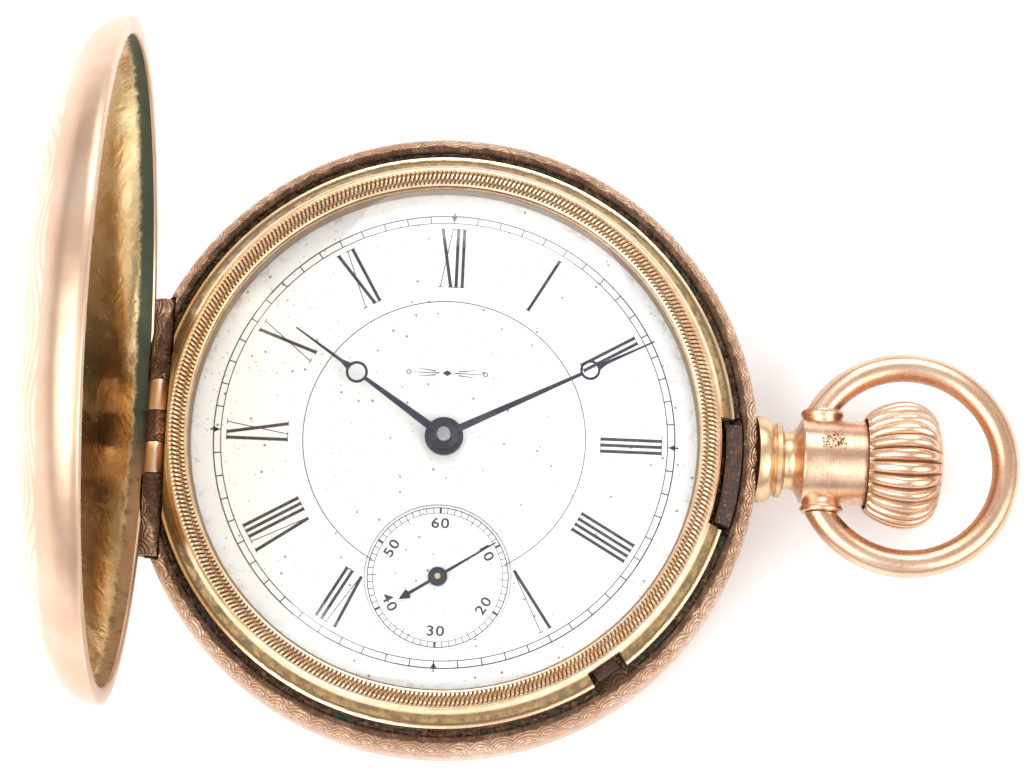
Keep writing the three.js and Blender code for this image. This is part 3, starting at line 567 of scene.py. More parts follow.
def enamel(name, stain_at=None):
    """Fired white enamel with dirt specks under a worn gloss."""
    finish = Finish(name)
    at = finish.place()
    x, y, _ = finish.axes(at)
    out = (x * x + y * y).power(0.5)
    cloud = finish.noise(at, 0.12, 4)
    colour = finish.mix(finish.rise(cloud, 0.35, 0.7), rgb(0.93, 0.935, 0.945), rgb(0.95, 0.948, 0.94))
    patches = finish.rise(finish.noise(at, 0.45, 3), 0.42, 0.52)
    specks = (1 - finish.rise(finish.cells(at, 1.15), 0.08, 0.14)) * patches
    crowded = finish.rise(finish.noise(at, 0.8, 3), 0.44, 0.54)
    tiny = (1 - finish.rise(finish.cells(at, 2.4), 0.10, 0.18)) * crowded * 0.7
    dirt = specks.most(tiny)
    rim = finish.rise(out, 15.6, 16.4) * finish.rise(finish.noise(at, 1.1, 7, 0.75), 0.48, 0.66) * 0.55
    colour = finish.mix(rim, colour, rgb(0.42, 0.36, 0.28))
    if stain_at:
        away = ((x - stain_at[0]) * (x - stain_at[0]) + (y - stain_at[1]) * (y - stain_at[1])).power(0.5)
        ring = finish.band(away + finish.noise(at, 0.8, 3) * 0.9, 2.45, 0.05, 0.25)
        ring = ring * finish.rise(cloud, 0.4, 0.6) * 0.3
        colour = finish.mix(ring, colour, rgb(0.80, 0.62, 0.42))
    colour = finish.mix(dirt * 0.8, colour, rgb(0.10, 0.085, 0.08))
    normal = finish.bump(cloud, 0.15, 0.15)
    return finish.set(Base_Color=colour, Roughness=0.16 + dirt * 0.5, Normal=normal, IOR=1.5)


def ink():
    finish = Finish("dial_ink")
    at = finish.place()
    wear = finish.noise(at, 4, 6, 0.7)
    colour = finish.mix(finish.rise(wear, 0.45, 0.8), rgb(0.012, 0.013, 0.02), rgb(0.10, 0.10, 0.12))
    return finish.set(Base_Color=colour, Roughness=0.3 + wear * 0.15)


def blued_steel():
    finish = Finish("blued_steel")
    at = finish.place()
    film = finish.noise(at, 0.9, 5)
    colour = finish.mix(finish.rise(film, 0.4, 0.7), rgb(0.018, 0.022, 0.045), rgb(0.06, 0.05, 0.06))
    return finish.set(Base_Color=colour, Roughness=0.26 + film * 0.15, Metallic=0.9,
                      Normal=finish.bump(film, 0.02, 0.4))


def crystal_glass():
    """The crystal: clear, with a light film that only shows at a low angle."""
    finish = Finish("crystal_glass")
    at = finish.place()
    film = finish.rise(finish.noise(at, 0.35, 6, 0.65), 0.45, 0.7)
    finish.set(Base_Color=rgb(1, 1, 1), Metallic=1.0, Roughness=0.03 + film * 0.05)
    clear = finish.node("ShaderNodeBsdfTransparent", None, {0: (0.985, 0.99, 0.99, 1)})
    slope = finish.node("ShaderNodeLayerWeight", None, {"Blend": 0.5}, out="Facing")
    shine = slope.power(5) * 0.9 + film * 0.008 + 0.035
    mixed = finish.tree.nodes.new("ShaderNodeMixShader")
    finish.tree.links.new(shine.socket, mixed.inputs[0])
    finish.tree.links.new(clear.socket, mixed.inputs[1])
    finish.tree.links.new(finish.shader.outputs[0], mixed.inputs[2])
    finish.tree.links.new(mixed.outputs[0], finish.tree.nodes["Material Output"].inputs[0])
    return finish.material


def movement_metal(name, base, pale, stripes=0.0, rough=0.3):
    """Movement parts: nickel or gilt, with damaskeened stripes where they are shown off."""
    finish = Finish(name)
    at = finish.place()
    x, y, _ = finish.axes(at)
    cloud = finish.noise(at, 0.5, 5)
    grain = finish.noise(at, 9, 4, 0.7)
    colour = finish.mix(finish.rise(cloud, 0.38, 0.65), base, pale)
    normal = finish.bump(grain, 0.008, 0.5)
    if stripes:
        wave = ((x * 0.82 + y * 0.57) * (math.tau / stripes)).sine() * 0.5 + 0.5
        brushed = finish.noise(finish.stretched(at, 7, 7, 1), 1.3, 3)
        colour = finish.mix(finish.rise(wave, 0.2, 0.8) * 0.35, colour, rgb(0.36, 0.36, 0.37))
        normal = finish.bump(wave, 0.05, 0.5, normal)
        normal = finish.bump(brushed, 0.01, 0.5, normal)
    spots = finish.rise(finish.noise(at, 1.9, 6, 0.7), 0.70, 0.75)
    colour = finish.mix(spots * 0.6, colour, rgb(0.12, 0.09, 0.06))
    return finish.set(Base_Color=colour, Roughness=rough + cloud * 0.12 + spots * 0.3, Metallic=1.0,
                      Normal=normal)


neck_gold = tarnished_neck()
bezel_gold = milled_gold()
lining = stained_lining()
seat_dirt = verdigris_dirt()
rusty = rusted_steel()
white_enamel = enamel("dial_enamel")
seconds_enamel = enamel("seconds_enamel", SECONDS_AT)
dial_ink = ink()
hand_steel = blued_steel()
glass = crystal_glass()
nickel = movement_metal("nickel_stripes", rgb(0.60, 0.59, 0.57), rgb(0.76, 0.75, 0.72), stripes=1.6)
plain_nickel = movement_metal("plain_nickel", rgb(0.58, 0.57, 0.55), rgb(0.72, 0.71, 0.69))
gilt = movement_metal("gilt_brass", rgb(0.72, 0.52, 0.22), rgb(0.86, 0.68, 0.36))
steel = movement_metal("polished_steel", rgb(0.42, 0.42, 0.43), rgb(0.58, 0.58, 0.59), rough=0.22)
cuvette_gold = worn_gold("cuvette_gold", base=YELLOW, pale=YELLOW_PALE, tarnish=0.4, rough=0.18)

# ---------------------------------------------------------------- case middle, bezel, crystal

FRONT_CASE_KNUCKLES = [(-8.5, -3.15), (-1, 1), (3.15, 8.5)]
FRONT_LID_KNUCKLES = [(-3.1, -1.05), (1.05, 3.1)]
BACK_CASE_KNUCKLES = [(-6.5, -2.3), (2.3, 6.5)]
BACK_LID_KNUCKLES = [(-2.25, 2.25)]
CUVETTE_CASE_KNUCKLES = [(-3, -1.2), (1.2, 3)]
CUVETTE_LID_KNUCKLES = [(-1.15, 1.15)]


def knuckles(hinge, radius, stretches):
    """Hinge tubes along Y with a small gap and softened ends."""
    tubes = []
    for low, high in stretches:
        tube = eased(disc(radius, low, high, steps=24), 0.06, 2)
        tubes.append(move(along_y(tube), hinge[0], 0, hinge[1]))
    return tubes


def sector_block(inner, outer, start, end, low, high, steps=24):
    angles = [start + (end - start) * i / steps for i in range(steps + 1)]
    outline = [polar(outer, a) for a in angles] + [polar(inner, a) for a in reversed(angles)]
    return slab(outline, low, high)


def case_middle():
    band = turned([
        (16.95, 3.5), (16.95, 7.25), (17.45, 7.25), (17.45, 8.35), (18.95, 8.35), (18.98, 8.02),
        (19.32, 8.0), (19.36, 8.48), (19.44, 8.56), (19.62, 8.55), (19.9, 8.46), (20.16, 8.27),
        (20.33, 7.96), (20.44, 7.5), (20.5, 6.9), (20.5, 4.7), (20.42, 4.1), (20.2, 3.6), (19.9, 3.25),
        (19.6, 3.1), (17.85, 3.1), (17.85, 3.5)], steps=256)
    pockets = [box((-21, -8.7, 7.3), (-17.95, 8.7, 9)), box((-21, -7.9, 3), (-18.02, 7.9, 4.05)),
               box((-21, -3.15, 3), (-16, 3.15, 3.8)),
               sector_block(17.85, 18.8, -27, 20, 6.9, 9), sector_block(17.6, 19.4, -17.5, 7, 7.3, 9),
               turn(box((17, -1.25, 7.45), (19.45, 1.25, 9)), SETTING_LEVER_ANGLE),
               move(along_x(disc(0.75, 15, 21, steps=24)), z=STEM_Z)]
    middle = carved(band, *pockets)
    webs = [box((-19.0, low, 7.2), (-18.1, high, FRONT_HINGE[1])) for low, high in FRONT_CASE_KNUCKLES]
    webs += [box((-18.5, low, BACK_HINGE[1]), (-18.2, high, 4.15)) for low, high in BACK_CASE_KNUCKLES]
    webs += [box((-17.8, low, 3.25), (-17.2, high, 3.9)) for low, high in CUVETTE_CASE_KNUCKLES]
    tubes = knuckles(FRONT_HINGE, 0.65, FRONT_CASE_KNUCKLES)
    tubes += knuckles(BACK_HINGE, 0.55, BACK_CASE_KNUCKLES)
    tubes += knuckles(CUVETTE_HINGE, 0.35, CUVETTE_CASE_KNUCKLES)
    whole = joined(middle, *webs, *tubes)
    piece("case_middle", whole, "case", case_gold, ["case_center"])


def seat_filling():
    """Dirt packed unevenly in the groove where the lid sits."""
    random.seed(11)
    dirt = turned([(18.97, 7.98), (19.34, 7.98), (19.34, 8.26), (19.22, 8.36), (19.08, 8.34),
                   (18.97, 8.3)], steps=720)
    tops = [v for v in dirt.verts if v.co.z > 8.2]
    for vert in tops:
        vert.co.z += random.uniform(-0.22, 0.12)
    gap = [box((-21, -8.9, 7), (-17.9, 8.9, 9)), sector_block(17.8, 19.6, -17, 6.5, 7, 9),
           turn(box((17, -1.3, 7), (19.6, 1.3, 9)), SETTING_LEVER_ANGLE)]
    piece("seat_dirt", carved(dirt, *gap), "case", seat_dirt)


def bezel():
    """The milled ring is cut with slanted slots, and the rest is turned."""
    slots = 372
    per_slot = 4
    inner, outer = 16.66, 17.68
    outline = [(16.4, 8.4), (16.4, 9.15), (16.46, 9.28), (16.6, 9.32), (16.88, 9.32), (16.9, 9.66),
               (16.66, 9.78), (16.58, 9.86), (16.6, 9.96), (16.68, 10.0), (16.8, 10.0), (16.98, 10.0),
               (17.16, 10.0), (17.34, 10.0), (17.52, 10.0), (17.66, 10.0), (17.72, 10.0), (17.8, 9.96),
               (17.86, 9.84), (18.2, 9.5), (18.48, 9.16), (18.58, 9.0), (18.64, 8.86), (18.86, 8.8),
               (18.9, 8.7), (18.9, 8.4)]
    bm = turned(outline, steps=slots * per_slot)
    for vert in bm.verts:
        reach = math.hypot(vert.co.x, vert.co.y)
        if inner + 0.03 < reach < outer - 0.03 and vert.co.z > 9.9:
            slant = (reach - inner) / (outer - inner) * 1.9
            phase = math.atan2(vert.co.y, vert.co.x) / math.tau * slots + slant
            vert.co.z -= 0.17 * max(0.0, 0.1 - math.cos(phase * math.tau))
    cuts = [box((-19, -9, 8.3), (-17.88, 9, 9.9)), sector_block(17.9, 19, -16.5, 6, 8.3, 9.9),
            turn(box((17.95, -1.25, 8.3), (19, 1.25, 9.9)), SETTING_LEVER_ANGLE)]
    piece("milled_bezel", carved(bm, *cuts), "case", bezel_gold, ["bezel"])


def crystal():
    dome = [(0, 11.2), (3, 11.17), (6, 11.07), (9, 10.9), (12, 10.62), (14.5, 10.27), (16, 9.93),
            (16.5, 9.74), (16.78, 9.6), (16.84, 9.5), (16.8, 9.38), (16.5, 9.36), (15, 9.62),
            (12, 10.08), (9, 10.42), (6, 10.62), (3, 10.73), (0, 10.75)]
    piece("crystal_dome", turned(dome, closed=False), "case", glass, ["crystal"])


# ---------------------------------------------------------------- lids


def smooth_run(points, rounds=2):
    """Corner-cuts a run of points, which keeps both ends."""
    for _ in range(rounds):
        cut = [points[0]]
        for (ax, ay), (bx, by) in zip(points, points[1:]):
            cut.append((ax * 0.75 + bx * 0.25, ay * 0.75 + by * 0.25))
            cut.append((ax * 0.25 + bx * 0.75, ay * 0.25 + by * 0.75))
        cut.append(points[-1])
        points = cut
    return points


def opened(bm):
    """From the closed place to the open one the part stands in at rest."""
    return turn(bm, FRONT_LID_OPEN, "Y", (FRONT_HINGE[0], 0, FRONT_HINGE[1]))


def faces_the_dial(face):
    """Whether a face of the shut lid is on its inner side, above its lip."""
    middle = face.calc_center_median()
    inwards = face.normal.dot(Vector((middle.x, middle.y, 0))) < -1
    return (face.normal.z < -0.05 or inwards) and middle.z > 8.75 and math.hypot(middle.x, middle.y) < 19.4


def front_lid():
    outer = smooth_run([(0, 13.72), (9, 13.38), (15, 12.58), (18.3, 11.45), (19.75, 10.3),
                        (20.18, 9.2), (20.18, 8.8)])
    lip = [(20.12, 8.68), (20.0, 8.63), (19.3, 8.63), (19.18, 8.68)]
    inner = smooth_run([(19.12, 8.8), (19.0, 9.35), (18.2, 10.45), (16.8, 11.35), (14, 12.2), (9, 12.85),
                        (0, 13.2)])
    shell = turned(outer + lip, closed=False)
    lining_shell = turned([lip[-1]] + inner, closed=False)
    hinge_cut = box((-21, -12, 8), (-19.3, 12, 14.5))
    room = move(along_y(disc(0.78, -8.75, 8.75, steps=24)), FRONT_HINGE[0], 0, FRONT_HINGE[1])
    notch = sector_block(18.5, 19.45, -17.5, 7, 8.5, 9.3)
    whole = joined(shell, lining_shell)
    bmesh.ops.remove_doubles(whole, verts=whole.verts, dist=1e-4)
    bmesh.ops.recalc_face_normals(whole, faces=whole.faces)
    body = carved(whole, hinge_cut, room, notch)
    webs = [box((-19.22, low, 8.1), (-18.95, high, 10.2)) for low, high in FRONT_LID_KNUCKLES]
    tubes = knuckles(FRONT_HINGE, 0.65, FRONT_LID_KNUCKLES)
    lid = joined(body, *webs, *tubes)
    for face in lid.faces:
        face.material_index = 1 if faces_the_dial(face) else 0
    made = piece("front_lid_shell", opened(lid), "front_lid", lid_gold, ["front_lid"])
    made.data.materials.append(lining)


def back_lid():
    outer = smooth_run([(9, 0.0), (14, 0.36), (18, 1.26), (19.7, 2.1), (20.18, 2.75), (20.18, 2.95)])
    inner = smooth_run([(19.2, 3.03), (17.4, 1.8), (13.7, 0.95), (9, 0.62)])
    shell = turned([(0, 0)] + outer + [(20.1, 3.03)] + inner + [(0, 0.6)], closed=False)
    cuts = [box((-21, -12, -1), (-19.3, 12, 4)),
            move(along_y(disc(0.68, -6.6, 6.6, steps=24)), BACK_HINGE[0], 0, BACK_HINGE[1])]
    webs = [box((-19.2, low, 2.3), (-18.5, high, 3.1)) for low, high in BACK_LID_KNUCKLES]
    tubes = knuckles(BACK_HINGE, 0.55, BACK_LID_KNUCKLES)
    lid = joined(carved(shell, *cuts), *webs, *tubes)
    piece("back_lid_shell", lid, "back_lid", back_gold, ["back_lid"])


def cuvette():
    shell = turned([(0, 1.5)] + smooth_run([(6, 1.58), (11, 1.75), (16.9, 2.6), (17.5, 2.66), (17.7, 2.75)])
                   + [(17.7, 2.95), (17.6, 3.0)]
                   + smooth_run([(16.85, 3.0), (11, 2.1), (6, 1.93)]) + [(0, 1.85)], closed=False)
    cuts = [box((-19, -12, 2), (-17.35, 12, 4)),
            move(along_y(disc(0.48, -3.1, 3.1, steps=24)), CUVETTE_HINGE[0], 0, CUVETTE_HINGE[1])]
    webs = [box((-17.6, low, 2.7), (-16.9, high, 3.15)) for low, high in CUVETTE_LID_KNUCKLES]
    tubes = knuckles(CUVETTE_HINGE, 0.35, CUVETTE_LID_KNUCKLES)
    lid = joined(carved(shell, *cuts), *webs, *tubes)
    piece("cuvette_shell", lid, "cuvette", cuvette_gold, ["cuvette"])


def latch():
    """The lid's catch, a rusted steel spring with a nose, and the setting lever's tip."""
    nose = eased(sector_block(18.25, 19.3, -15.5, 4.8, 7.5, 8.95), 0.06, 2)
    strip = sector_block(18.25, 18.6, -25, 17, 7.0, 8.25)
    piece("lid_catch", joined(strip, nose), "lock_spring", rusty, ["lock_spring"])
    bar = box((14.6, -0.6, 7.6), (18.7, 0.6, 7.85))
    tip = eased(box((17.95, -0.85, 7.6), (18.7, 0.85, 8.45)), 0.08, 2)
    lever = turn(joined(bar, tip), SETTING_LEVER_ANGLE)
    piece("setting_lever_bar", lever, "setting_lever", rusty, ["setting_lever"])


# ---------------------------------------------------------------- pendant, crown and bow


def pendant():
    outline = [(0.65, 19.45), (2.2, 19.45), (2.5, 19.55)]
    outline += smooth_run([(2.5, 19.55), (2.78, 19.95), (2.88, 20.6), (2.74, 21.2), (2.42, 21.45)])
    outline += [(2.3, 21.5), (2.34, 21.6), (2.46, 21.7), (2.46, 21.97), (2.3, 22.07), (2.0, 22.15)]
    outline += smooth_run([(1.92, 22.2), (1.85, 22.5), (1.95, 22.85), (2.35, 23.17), (2.68, 23.3)])
    outline += [(2.76, 23.37), (2.8, 23.5), (2.78, 23.65), (2.76, 27.65), (2.7, 27.83), (2.5, 27.85),
                (1.4, 27.85), (1.4, 24.15), (0.65, 24.15)]
    body = along_x(turned(outline, steps=96))
    ears = []
    for side in (1, -1):
        ear = turned([(0, 2.2), (1.16, 2.2), (1.24, 2.62), (1.28, 2.9), (1.38, 3.02), (1.42, 3.18),
                      (1.36, 3.34), (1.2, 3.4), (0, 3.4)], steps=48, closed=False)
        ears.append(move(turn(ear, -90 * side, "X"), BOW_PIVOT_X))
    trimmed = carved(body, disc(CASE_RADIUS + 0.02, -4, 4, steps=256))
    socketed = [carved(ear, along_x(disc(1.4, 24.15, 29)), move(along_y(disc(0.6, -5, 5)), BOW_PIVOT_X))
                for ear in ears]
    piece("pendant_tube", move(joined(trimmed, *socketed), z=STEM_Z), "case", neck_gold,
          ["pendant"])


def crown():
    """A fluted ball with a plain button top, hollow where it fits over the pendant."""
    per_flute = 10
    outer = [(0, 32.6), (0.9, 32.58), (1.8, 32.5), (2.5, 32.35), (2.62, 32.28)]
    ribs = smooth_run([(2.7, 32.3), (3.3, 32.1), (3.9, 31.45), (4.22, 30.6), (4.22, 29.75),
                       (3.95, 28.75), (3.5, 27.9), (3.2, 27.61)])
    inner = [(3.1, 27.55), (3.0, 27.61), (3.0, 28.75), (0.6, 28.75), (0.6, 30.65), (0, 30.65)]
    knob = turned(outer + ribs + inner, steps=CROWN_FLUTES * per_flute, closed=False)
    for vert in knob.verts:
        reach = math.hypot(vert.co.x, vert.co.y)
        if reach > 2.64 and vert.co.z > 27.57 and not (reach < 3.05 and vert.co.z < 28.85):
            phase = math.atan2(vert.co.y, vert.co.x) * CROWN_FLUTES / 2
            depth = 0.44 * (1 - abs(math.cos(phase))) ** 1.8
            fade = min(1, (reach - 2.64) / 0.5)
            skirt = 3.06 if vert.co.z < 28.85 else 0
            factor = max(reach - depth * fade, skirt) / reach
            vert.co.x *= factor
            vert.co.y *= factor
    bmesh.ops.recalc_face_normals(knob, faces=knob.faces)
    piece("fluted_crown", move(along_x(knob), z=STEM_Z), "crown", crown_gold, ["crown"],
          sharp=50)


def bow():
    """Round wire whose ends sit on the pendant's ears."""
    sweep = 154
    steps = 128
    bm = bmesh.new()
    bmesh.ops.create_circle(bm, cap_ends=True, segments=32, radius=BOW_WIRE)
    bmesh.ops.rotate(bm, verts=bm.verts, cent=(0, 0, 0), matrix=Matrix.Rotation(math.radians(90), 3, "X"))
    bmesh.ops.translate(bm, verts=bm.verts, vec=(BOW_RADIUS, 0, 0))
    bmesh.ops.rotate(bm, verts=bm.verts, cent=(0, 0, 0),
                     matrix=Matrix.Rotation(math.radians(-sweep), 3, "Z"))
    bmesh.ops.spin(bm, geom=bm.verts[:] + bm.edges[:] + bm.faces[:], cent=(0, 0, 0), axis=AXIS_Z,
                   angle=math.radians(2 * sweep), steps=steps, use_merge=False)
    if len([face for face in bm.faces if len(face.verts) > 4]) < 2:
        bmesh.ops.holes_fill(bm, edges=[edge for edge in bm.edges if edge.is_boundary])
    tidy(bm)
    move(bm, BOW_CENTRE_X)
    gap = box((22, -3.45, -2), (27.5, 3.45, 2))
    hoop = carved(bm, gap)
    pins = [along_y(disc(0.52, min(2.9 * side, 3.9 * side), max(2.9 * side, 3.9 * side), steps=24))
            for side in (1, -1)]
    pins = [move(pin, BOW_PIVOT_X) for pin in pins]
    piece("bow_ring", move(joined(hoop, *pins), z=STEM_Z), "bow", bow_gold, ["bow"])


# ---------------------------------------------------------------- dial

INK_LOW = DIAL_TOP - 0.005
INK_HIGH = DIAL_TOP + 0.012
SMALL_TOP = 8.12


def holed_plate(radius, low, high, hole_at, hole_radius, centre_hole, ease):
    """A round plate with two round holes, its edges eased."""
    plate = disc(radius, low, high, steps=192)
    cutters = [disc(hole_radius, low - 1, high + 1, hole_at, steps=128), disc(centre_hole, low - 1, high + 1)]
    return eased(carved(plate, *cutters), ease, 3, 60)


def inked(marks, name, body="case"):
    piece(name, joined(*marks), body, dial_ink)


def ring(inner, outer, low, high, at=(0, 0), steps=STEPS):
    bm = turned([(inner, low), (outer, low), (outer, high), (inner, high)], steps=steps)
    return move(bm, at[0], at[1])


def arc_ring(radius, width, start, end, low, high):
    return sector_block(radius - width / 2, radius + width / 2, start, end, low, high, steps=120)


def stroke(x0, y0, x1, y1, thick):
    """A straight pen stroke between two points with square ends."""
    dx, dy = x1 - x0, y1 - y0
    length = math.hypot(dx, dy)
    nx, ny = -dy / length * thick / 2, dx / length * thick / 2
    return slab([(x0 + nx, y0 + ny), (x0 - nx, y0 - ny), (x1 - nx, y1 - ny), (x1 + nx, y1 + ny)],
                INK_LOW, INK_HIGH)


NUMERAL_IN = 10.15
NUMERAL_OUT = 14.1
THICK = 0.21
THIN = 0.055
SERIF = 0.05
SERIF_REACH = 0.17
GLYPH_WIDE = {"I": 0.40, "V": 0.98, "X": 1.0}
NUMERALS = ["XII", "I", "II", "III", "IIII", "V", None, "VII", "VIII", "IX", "X", "XI"]


def glyph(letter, left, foot, head):
    """One Roman letter, standing between two radii with its left side at a place."""
    wide = GLYPH_WIDE[letter]
    near, far = left + 0.17, left + wide - 0.15
    if letter == "I":
        near = far = left + wide / 2
        marks = [stroke(near, foot, near, head, THICK)]
        serifs = [(near, foot), (near, head)]
    elif letter == "V":
        apex = left + wide * 0.5
        marks = [stroke(near, head, apex, foot, THICK), stroke(far, head, apex + 0.05, foot + 0.1, THIN)]
        serifs = [(near, head), (far, head)]
    else:
        marks = [stroke(near, head, far, foot, THICK), stroke(near, foot, far, head, THIN)]
        serifs = [(x, y) for x in (near, far) for y in (foot, head)]
    return marks + [stroke(x - SERIF_REACH, y, x + SERIF_REACH, y, SERIF) for x, y in serifs]


def numerals():
    """Roman hours, their heads outwards. The seconds dial leaves no room for VI and cuts V and VII."""
    marks = []
    for hour, text in enumerate(NUMERALS):
        if text is None:
            continue
        short = {5: -0.4, 7: 0.3}.get(hour, 0)
        foot, head = NUMERAL_IN + short, NUMERAL_OUT
        total = sum(GLYPH_WIDE[letter] for letter in text)
        left = -total / 2
        letters = []
        for letter in text:
            letters += glyph(letter, left, foot, head)
            left += GLYPH_WIDE[letter]
        marks += [turn(mark, -30 * hour) for mark in letters]
    inked(marks, "hour_numerals")


def minute_track():
    marks = [ring(14.92, 15.0, INK_LOW, INK_HIGH), ring(14.46, 14.52, INK_LOW, INK_HIGH)]
    for minute in range(60):
        marks.append(turn(stroke(0, 14.48, 0, 14.96, 0.075), -6 * minute))
    for quarter in range(4):
        tip = slab([(-0.22, 14.99), (0.22, 14.99), (0, 14.56)], INK_LOW, INK_HIGH)
        tick = stroke(0, 15.0, 0, 15.2, 0.09)
        marks += [turn(tip, -90 * quarter), turn(tick, -90 * quarter)]
    inked(marks, "minute_track")
    gap = 27.5
    inked([arc_ring(9.17, 0.055, -90 + gap, 270 - gap, INK_LOW, INK_HIGH)], "inner_circle")


def maker_place():
    """A plain flourish where a maker would sign: a lozenge between two tapering scrolls."""
    y = 4.35
    marks = [slab([(-0.32, y), (0, y - 0.2), (0.32, y), (0, y + 0.2)], INK_LOW, INK_HIGH)]
    for side in (1, -1):
        for near, far, lift in ((0.5, 2.3, 0.0), (0.75, 1.9, 0.26), (0.75, 1.9, -0.26)):
            marks.append(slab([(side * near, y + lift * 0.5 - 0.04), (side * far, y + lift - 0.012),
                               (side * far, y + lift + 0.012), (side * near, y + lift * 0.5 + 0.04)][::side],
                              INK_LOW, INK_HIGH))
        marks.append(ring(0.1, 0.16, INK_LOW, INK_HIGH, (side * 2.5, y), 24))
    inked(marks, "dial_flourish")


def seconds_marks():
    sx, sy = SECONDS_AT
    low, high = SMALL_TOP - 0.005, SMALL_TOP + 0.012
    marks = [ring(4.5, 4.56, low, high, SECONDS_AT, 128), ring(4.16, 4.2, low, high, SECONDS_AT, 128)]
    for second in range(60):
        heavy = 0.15 if second % 10 == 0 else 0.05
        inner = 3.92 if second % 10 == 5 else 4.18
        half = heavy / 2
        tick = slab([(-half, inner), (half, inner), (half, 4.53), (-half, 4.53)], low, high)
        marks.append(move(turn(tick, -6 * second), sx, sy))
    inked(marks, "seconds_track")
    for i in range(6):
        figure = seconds_figure(60 if i == 0 else i * 10, (low + high) / 2, high - low, -FIGURE_LEANS[i])
        x, y = polar(FIGURE_RADIUS, 90 - 60 * i)
        piece(f"seconds_figure_{60 if i == 0 else i * 10}", move(figure, sx + x, sy + y), "case", dial_ink)


FIGURE_RADIUS = 3.5
FIGURE_LEANS = (0, 60, -60, 0, 60, -60)


def seconds_figure(number, height, thick, lean):
    """A number in the plain built-in lettering, widened and leaned to follow the small dial."""
    curve = bpy.data.curves.new("figure", "FONT")
    curve.body = str(number)
    curve.size = 0.92
    curve.align_x = "CENTER"
    curve.align_y = "CENTER"
    curve.extrude = thick / 2
    curve.offset = 0.016
    curve.space_character = 1.12
    written = bpy.data.objects.new("figure", curve)
    bpy.context.scene.collection.objects.link(written)
    flat = bpy.data.meshes.new_from_object(written.evaluated_get(bpy.context.evaluated_depsgraph_get()))
    bpy.data.objects.remove(written)
    bm = bmesh.new()
    bm.from_mesh(flat)
    bmesh.ops.remove_doubles(bm, verts=bm.verts, dist=1e-5)
    bmesh.ops.scale(bm, vec=(1.22, 1, 1), verts=bm.verts)
    return turn(move(bm, 0, 0, height), lean)


def dials():
    main = holed_plate(17.2, 7.95, DIAL_TOP, SECONDS_AT, 4.75, 1.0, 0.07)
    piece("dial_plate", main, "case", white_enamel, ["dial"])
    small = turned([(0.35, 7.95), (4.7, 7.95), (4.72, 8.0), (4.7, 8.06), (4.62, SMALL_TOP),
                    (0.4, SMALL_TOP), (0.35, 8.08)], steps=128)
    piece("seconds_plate", move(small, *SECONDS_AT), "case", seconds_enamel, ["seconds_dial"])
    numerals()
    minute_track()
    maker_place()
    seconds_marks()


# ---------------------------------------------------------------- hands


def moon_hand(name, node, body, angle, low, length, ring_at, ring_radius, wire, width, hub, bore):
    """A slim tapering hand with an open ring near its tip."""
    high = low + 0.16
    shaft = slab([(-width, bore + 0.1), (width, bore + 0.1), (width * 0.45, ring_at - ring_radius + 0.06),
                  (-width * 0.45, ring_at - ring_radius + 0.06)], low, high)
    neck = ring_at + ring_radius
    tip = slab([(-0.26, neck - 0.08), (0.26, neck - 0.08), (0.11, neck + 0.5), (0.045, length),
                (-0.045, length), (-0.11, neck + 0.5)], low, high)
    moon = move(turned([(ring_radius - wire, low), (ring_radius, low), (ring_radius, high),
                        (ring_radius - wire, high)], steps=48), 0, ring_at)
    boss = turned([(bore, low - 0.06), (hub, low - 0.06), (hub, low + 0.2), (hub - 0.08, low + 0.26),
                   (bore, low + 0.26)], steps=48)
    parts = [eased(part, 0.03, 2) for part in (shaft, tip, moon)]
    piece(name, turn(joined(boss, *parts), -angle), body, hand_steel, [node])


def hands():
    moon_hand("hour_moon_hand", "hour_hand", "hour_wheel", HOUR_ANGLE, 8.95,
              12.07, 7.1, 0.72, 0.17, 0.27, 1.25, 0.9)
    moon_hand("minute_moon_hand", "minute_hand", "cannon_pinion", MINUTE_ANGLE, 9.38,
              15.0, 10.4, 0.66, 0.16, 0.24, 0.94, 0.58)
    low, high = 8.42, 8.54
    blade = slab([(-0.11, 0), (0.11, 0), (0.04, 4.35), (-0.04, 4.35)], low, high)
    tail = slab([(-0.09, 0), (-0.1, -2.1), (-0.33, -2.2), (0, -2.9), (0.33, -2.2), (0.1, -2.1), (0.09, 0)],
                low, high)
    hub = turned([(0.22, 8.36), (0.62, 8.36), (0.62, 8.56), (0.55, 8.62), (0.22, 8.62)], steps=32)
    small = joined(hub, eased(blade, 0.02, 1), eased(tail, 0.02, 1))
    piece("seconds_pointer", move(turn(small, -SECONDS_ANGLE), *SECONDS_AT), "fourth_wheel", hand_steel,
          ["seconds_hand"])


# ---------------------------------------------------------------- movement


def assign(finish, *names):
    for name in names:
        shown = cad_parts[name]
        shown.data.materials.clear()
        shown.data.materials.append(finish)


def movement():
    assign(nickel, "barrel_bridge", "train_bridge", "balance_cock")
    assign(plain_nickel, "pillar_plate", "pallet_bridge")
    assign(gilt, "minute_wheel", "hour_wheel", "mainspring_barrel", "barrel_cover", "center_wheel",
           "third_wheel", "fourth_wheel", "balance_wheel")
    assign(steel, "pendant_sleeve", "front_hinge_pin", "back_hinge_pin", "cuvette_hinge_pin",
           "lift_spring", "stem", "winding_pinion", "cannon_pinion", "crown_wheel", "ratchet_wheel",
           "barrel_arbor", "click", "click_spring", "mainspring", "escape_wheel", "pallet_fork",
           "hairspring_stud", "regulator")
    assign(hand_steel, *(f"barrel_bridge_screw_{i}" for i in (1, 2, 3)),
           *(f"train_bridge_screw_{i}" for i in (1, 2, 3)), "case_screw_1", "case_screw_2", "cock_screw",
           "crown_wheel_screw", "ratchet_screw", "hairspring")


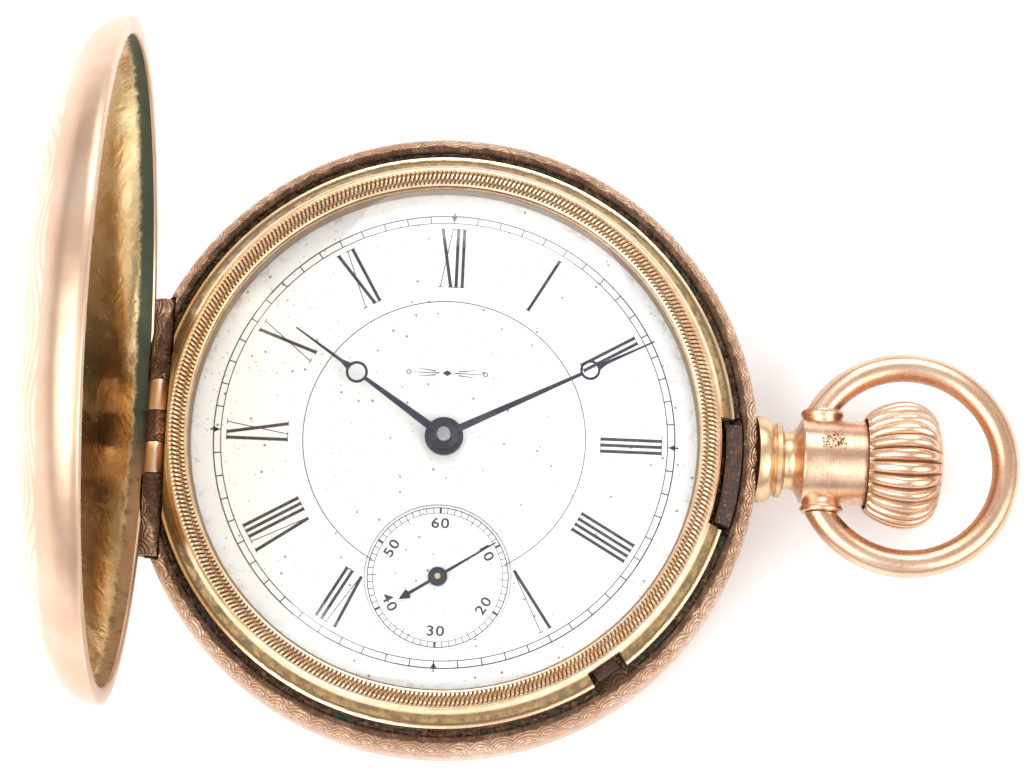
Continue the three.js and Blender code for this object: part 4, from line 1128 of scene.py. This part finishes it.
# ---------------------------------------------------------------- floor, light and camera


WORLD_STOPS = [(0.0, rgb(0.9, 0.9, 0.9)), (0.14, rgb(0.22, 0.21, 0.21)), (0.36, rgb(1.0, 1.0, 1.0)),
               (0.62, rgb(1.0, 1.0, 1.0)), (0.8, rgb(0.45, 0.45, 0.47)), (0.97, rgb(0.85, 0.85, 0.87))]
LAMPS = (("key", (-0.30, -0.16, 0.44), 0.46, 2.5), ("fill", (0.36, -0.22, 0.38), 0.40, 1.6),
         ("back", (0.05, 0.42, 0.36), 0.36, 1.5))      # place and size in metres, power in watts


def floor():
    sheet = bmesh.new()
    bmesh.ops.create_grid(sheet, x_segments=1, y_segments=1, size=3000)
    bmesh.ops.scale(sheet, vec=(MM, MM, MM), verts=sheet.verts)
    laid = raw_object(sheet, "floor")
    paper = Finish("floor_paper")
    grain = paper.noise(paper.place(), 0.05, 3)
    tone = paper.mix(grain, rgb(0.93, 0.93, 0.935), rgb(0.96, 0.96, 0.96))
    laid.data.materials.append(paper.set(Base_Color=tone, Roughness=0.9))


def surroundings():
    """A bright room with two darker belts, which the polished metal reflects."""
    world = bpy.data.worlds.new("studio")
    bpy.context.scene.world = world
    world.use_nodes = True
    sky = world.node_tree
    backdrop = sky.nodes["Background"]
    backdrop.inputs["Strength"].default_value = 1.0
    where = sky.nodes.new("ShaderNodeTexCoord")
    height = sky.nodes.new("ShaderNodeSeparateXYZ")
    fade = sky.nodes.new("ShaderNodeValToRGB")
    sky.links.new(where.outputs["Generated"], height.inputs[0])
    sky.links.new(height.outputs["Z"], fade.inputs[0])
    sky.links.new(fade.outputs[0], backdrop.inputs["Color"])
    set_stops(fade.color_ramp.elements, WORLD_STOPS)


def lamps():
    for name, at, size, power in LAMPS:
        lamp = bpy.data.lights.new(name, "AREA")
        lamp.size = size
        lamp.energy = power
        holder = bpy.data.objects.new(name, lamp)
        holder.location = at
        holder.rotation_mode = "QUATERNION"
        holder.rotation_quaternion = (Vector((0, 0, 0)) - Vector(at)).to_track_quat("-Z", "Y")
        bpy.context.scene.collection.objects.link(holder)


def camera():
    lens = bpy.data.cameras.new("camera")
    lens.lens = 103.7
    lens.sensor_width = 36
    lens.clip_start = 0.01
    lens.clip_end = 10
    holder = bpy.data.objects.new("camera", lens)
    at = Vector((5.29, -38.9, 195.59)) * MM
    towards = Vector((4.24, 3.88, 8.0)) * MM
    look = (towards - at).normalized()
    right = look.cross(Vector((0, 1, 0))).normalized()
    up = right.cross(look)
    lean = math.radians(2.45)
    side = right * math.cos(lean) + up * math.sin(lean)
    over = up * math.cos(lean) - right * math.sin(lean)
    holder.matrix_world = Matrix((
        (side.x, over.x, -look.x, at.x), (side.y, over.y, -look.y, at.y),
        (side.z, over.z, -look.z, at.z), (0, 0, 0, 1)))
    bpy.context.scene.collection.objects.link(holder)
    bpy.context.scene.camera = holder


case_middle()
seat_filling()
bezel()
crystal()
front_lid()
back_lid()
cuvette()
latch()
pendant()
crown()
bow()
dials()
hands()
movement()
floor()
surroundings()
lamps()
camera()
bpy.context.scene.view_settings.view_transform = "Standard"
